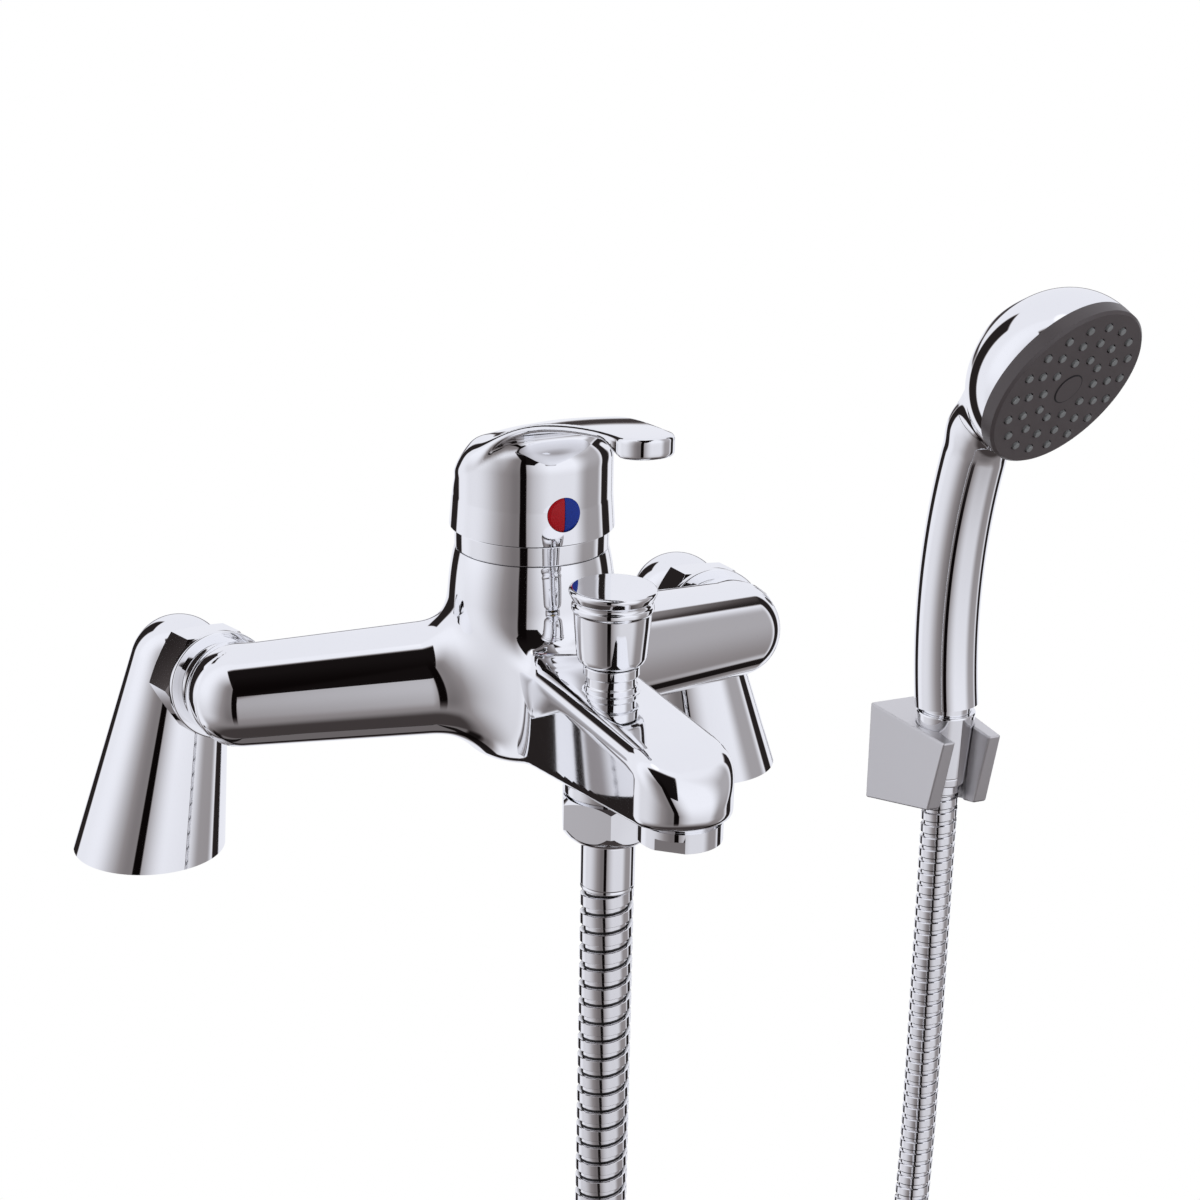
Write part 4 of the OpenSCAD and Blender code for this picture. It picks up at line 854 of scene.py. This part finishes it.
material, coat, sockets = plated("hose_strip", (0.90, 0.90, 0.92), 0.07)
# The crease between turns is painted nearly black, as painted shade, and is made rougher.
shaded_groove = coat.make("ShaderNodeAttribute", {"attribute_name": "groove"}, {}, out="Fac")
sockets["Base Color"] = (shaded_groove * 0.9).mixed(sockets["Base Color"], (0.03, 0.026, 0.025, 1))
sockets["Roughness"] = sockets["Roughness"] + shaded_groove * 0.2
hose = added(
    "hose", hose_mesh, coated(material, coat, sockets), None,
    "hose_left_run", "hose_coil", "hose_right_run", "hose_top_run")
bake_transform(hose)


# Tie: a soft black strap round the two passes of the hose, where its round turn closes.
# It is moulded rubber with a faint grain.
dress(rubber, "hose_tie")


# Hand shower: a curved plated handle that runs into a domed head, moulded in two with a slanted seam.
# Seen from the side, the handle bends forward and the head looks down at the bather.
facing = math.radians(14.6 - 90)
grip = np.array((socket_x, socket_y, -50.4))
forth = np.array((math.cos(facing), math.sin(facing), 0))
aside = np.array((-math.sin(facing), math.cos(facing), 0))
# The handle is bent to one radius, from a lean at the foot to where the head's throat starts.
bend_r, lean, stop, tilt = 275, math.radians(7.5), math.radians(16), math.radians(26.8)
handle_r, rim = 12.2, 6
bend = np.array((bend_r * math.cos(lean), bend_r * math.sin(lean)))
tube_end = np.array((bend[0] - bend_r * math.cos(stop), 0, bend[1] + bend_r * math.sin(stop)))
water = np.array((math.cos(tilt), 0, -math.sin(tilt)))
face = np.array((48.3, 0, 136))
head_r, side_r, depth = 34.1, 26.7, 29.2
side_x = head_r - side_r
# The head's back is a wide crown that runs over into a rounder shoulder.
crown_r = (side_x**2 + depth**2 - side_r**2) / (2 * (depth - side_r))


def shower_skin(p):
    q = p * 1000 - grip
    q = np.stack([q @ forth, q @ aside, q[:, 2]], axis=1)
    turn = np.arctan2(q[:, 2] - bend[1], bend[0] - q[:, 0])
    ring = np.hypot(np.hypot(q[:, 0] - bend[0], q[:, 2] - bend[1]) - bend_r, q[:, 1])
    tube = np.where(turn < stop, ring, np.linalg.norm(q - tube_end, axis=1)) - handle_r
    throat = round_cone(q, tube_end, face - water * 20.6, handle_r, 15.4)
    back = -(q - face) @ water - rim
    out = np.linalg.norm(q - face + np.outer(back + rim, water), axis=1)
    crown = np.hypot(out, back - depth + crown_r) - crown_r
    shoulder = np.hypot(out - side_x, back) - side_r
    dome = np.where(back * side_x - (out - side_x) * (crown_r - depth) > 0, crown, shoulder)
    return soft_min(soft_min(tube, throat, 3), dome, 9) / 1000


def placed(x, y, z):
    """A point of the hand shower's own frame, in metres."""
    return Vector((grip + x * forth + y * aside + np.array((0, 0, z))) / 1000)


def shower_stock():
    """Stock for the casting of handle and head in one."""
    bm = bmesh.new()
    points = []
    for i in range(-2, 9):
        a = -lean + (stop + lean) * i / 8
        points.append(placed(bend[0] - bend_r * math.cos(a), 0, bend[1] + bend_r * math.sin(a)) * 1000)
    for a, b in zip(points, points[1:]):
        stock(bm, a, b, handle_r, handle_r)
    crown = face - water * (rim + depth * 0.45)
    stock(bm, points[-1], placed(*crown) * 1000, handle_r, 18)
    stock(bm, placed(*(face - water * 2)) * 1000, placed(*(face - water * 14)) * 1000, 33, 20)
    return bm


seam_at = placed(4.2, 0, 122.3)
seam_normal = Vector(0.613 * forth + np.array((0, 0, 0.790)))
face_normal = Vector(water[0] * forth + np.array((0, 0, water[2])))
grip_normal = Vector(math.sin(lean) * forth - np.array((0, 0, math.cos(lean))))
whole = cast(shower_stock(), shower_skin, 0.0011)
head = whole.copy()
faced(whole, placed(0, 0, 0), grip_normal, 0.0005)
faced(whole, seam_at - seam_normal * 0.0001, seam_normal, 0.0004)
polished("handset_handle", whole, shower_skin, chrome, "handset", "handset_shell")
faced(head, seam_at + seam_normal * 0.0001, -seam_normal, 0.0004)
faced(head, placed(*(face - water * rim)), face_normal, 0.0003)
polished("handset_head", head, shower_skin, chrome, "handset", "handset_shell")

# Spray face: a dark moulded plate that closes the head, drilled for its nozzles round a plain disc.
# The nozzles are soft grey-green rubber, one moulding behind the plate, so that scale can be rubbed off.
# A thin black rubber ring shows round the disc, standing in for the shaded groove there: painted shade.
dark_plate = coated(*moulded("spray_plate", (0.115, 0.098, 0.098), 0.36, 1100, 0.00005))
dress(dark_plate, "spray_face")
nozzle_rubber = coated(*moulded("nozzle_rubber", (0.32, 0.335, 0.328), 0.4, 900, 0.00003))
spray = Matrix.Translation(placed(*face)) @ Matrix.Rotation(facing, 4, "Z")
spray = spray @ Matrix.Rotation(math.pi / 2 + tilt, 4, "Y")
bm = lathe([(0, -2), (30.6, -2), (30.6, -3.2), (0, -3.2)])
for count, radius in ((18, 27.28), (14, 20.46), (10, 12.958)):
    for k in range(count):
        angle = 2 * math.pi * (k + 0.5) / count
        x, y = radius * math.cos(angle), radius * math.sin(angle)
        place = Matrix.Translation((x / 1000, y / 1000, -0.0009))
        bmesh.ops.create_cone(
            bm, cap_ends=True, segments=16, radius1=0.0018, radius2=0.0014, depth=0.0034, matrix=place)
bmesh.ops.transform(bm, matrix=spray, verts=bm.verts[:])
finished("spray_nozzles", bm, nozzle_rubber, "handset", "spray_nozzles", soft=0.0008)
# Painted shade: a thin black ring where the groove round the disc is.
seat = lathe([(5.7, -0.6), (6.3, -0.6), (6.3, 0.14), (5.7, 0.14)], spray, closed=True)
finished("spray_disc_shade_ring", seat, rubber, "handset", soft=0)

# Wall bracket: a moulded and plated block, narrower to the front, with a tapered socket open at the front.
# Two screws through the back of the socket hold it to the wall.
top_z, deep, slot = -58, 44, 7.4
narrow_z, narrow_r, wide_r = -82.6, 8.85, 11.06


def socket_plan(r):
    """The socket's round wall seen from above, from one side of its slot to the other."""
    start = math.asin(-math.sqrt(r * r - slot * slot) / r)
    turns = np.linspace(start, math.pi - start, 45)
    return [(r * math.cos(a), r * math.sin(a)) for a in turns]


def round_from_front(x, y):
    """The angle round the socket from the middle of its slot."""
    return math.atan2(x, -y) % (2 * math.pi)


bm = bmesh.new()
outer = [(-slot, -20), (-12.7, -20), (-16.5, 29), (16.5, 29), (12.7, -20), (slot, -20)]
plan = [bm.verts.new((x / 1000, y / 1000, (top_z - deep) / 1000)) for x, y in outer + socket_plan(narrow_r)]
base = lid = bm.faces.new(plan)
# The socket is straight up to where it starts to widen, and widens to the top.
for z, r in ((narrow_z, narrow_r), (top_z, wide_r)):
    below = lid
    grown = bmesh.ops.extrude_face_region(bm, geom=[below])["geom"]
    lid = next(f for f in grown if isinstance(f, bmesh.types.BMFace))
    if below is not base:
        bmesh.ops.delete(bm, geom=[below], context="FACES_ONLY")
    ring = [v for v in grown if isinstance(v, bmesh.types.BMVert)]
    for v in ring:
        v.co.z = z / 1000
    hole = [v for v in ring if math.hypot(v.co.x, v.co.y) < 0.0095]
    hole.sort(key=lambda v: round_from_front(v.co.x, v.co.y))
    for v, (x, y) in zip(hole, sorted(socket_plan(r), key=lambda q: round_from_front(*q))):
        v.co.x, v.co.y = x / 1000, y / 1000
bmesh.ops.recalc_face_normals(bm, faces=bm.faces[:])
# The underside rises to the front, and the front leans back from its top edge.
faced(bm, (0, 0.029, (top_z - 41) / 1000), (0, -10.25, -41), 0)
faced(bm, (0, -0.020, top_z / 1000), (0, -30.75, -8), 0)
eased(bm, 0.0011)
bmesh.ops.transform(bm, matrix=in_socket, verts=bm.verts[:])
bores = []
for z in (-68, -88):
    bores.append(drill((socket_x, socket_y, z), (socket_x, 160, z), 2.25))
    bores.append(drill((socket_x, socket_y, z), (socket_x, 145, z), 4.5))
bm = carved(bm, "DIFFERENCE", *bores)
bracket_plate = coated(*plated("bracket_plate", (0.72, 0.71, 0.72), 0.4))
finished("wall_bracket", bm, bracket_plate, "mixer", "wall_bracket", soft=0)
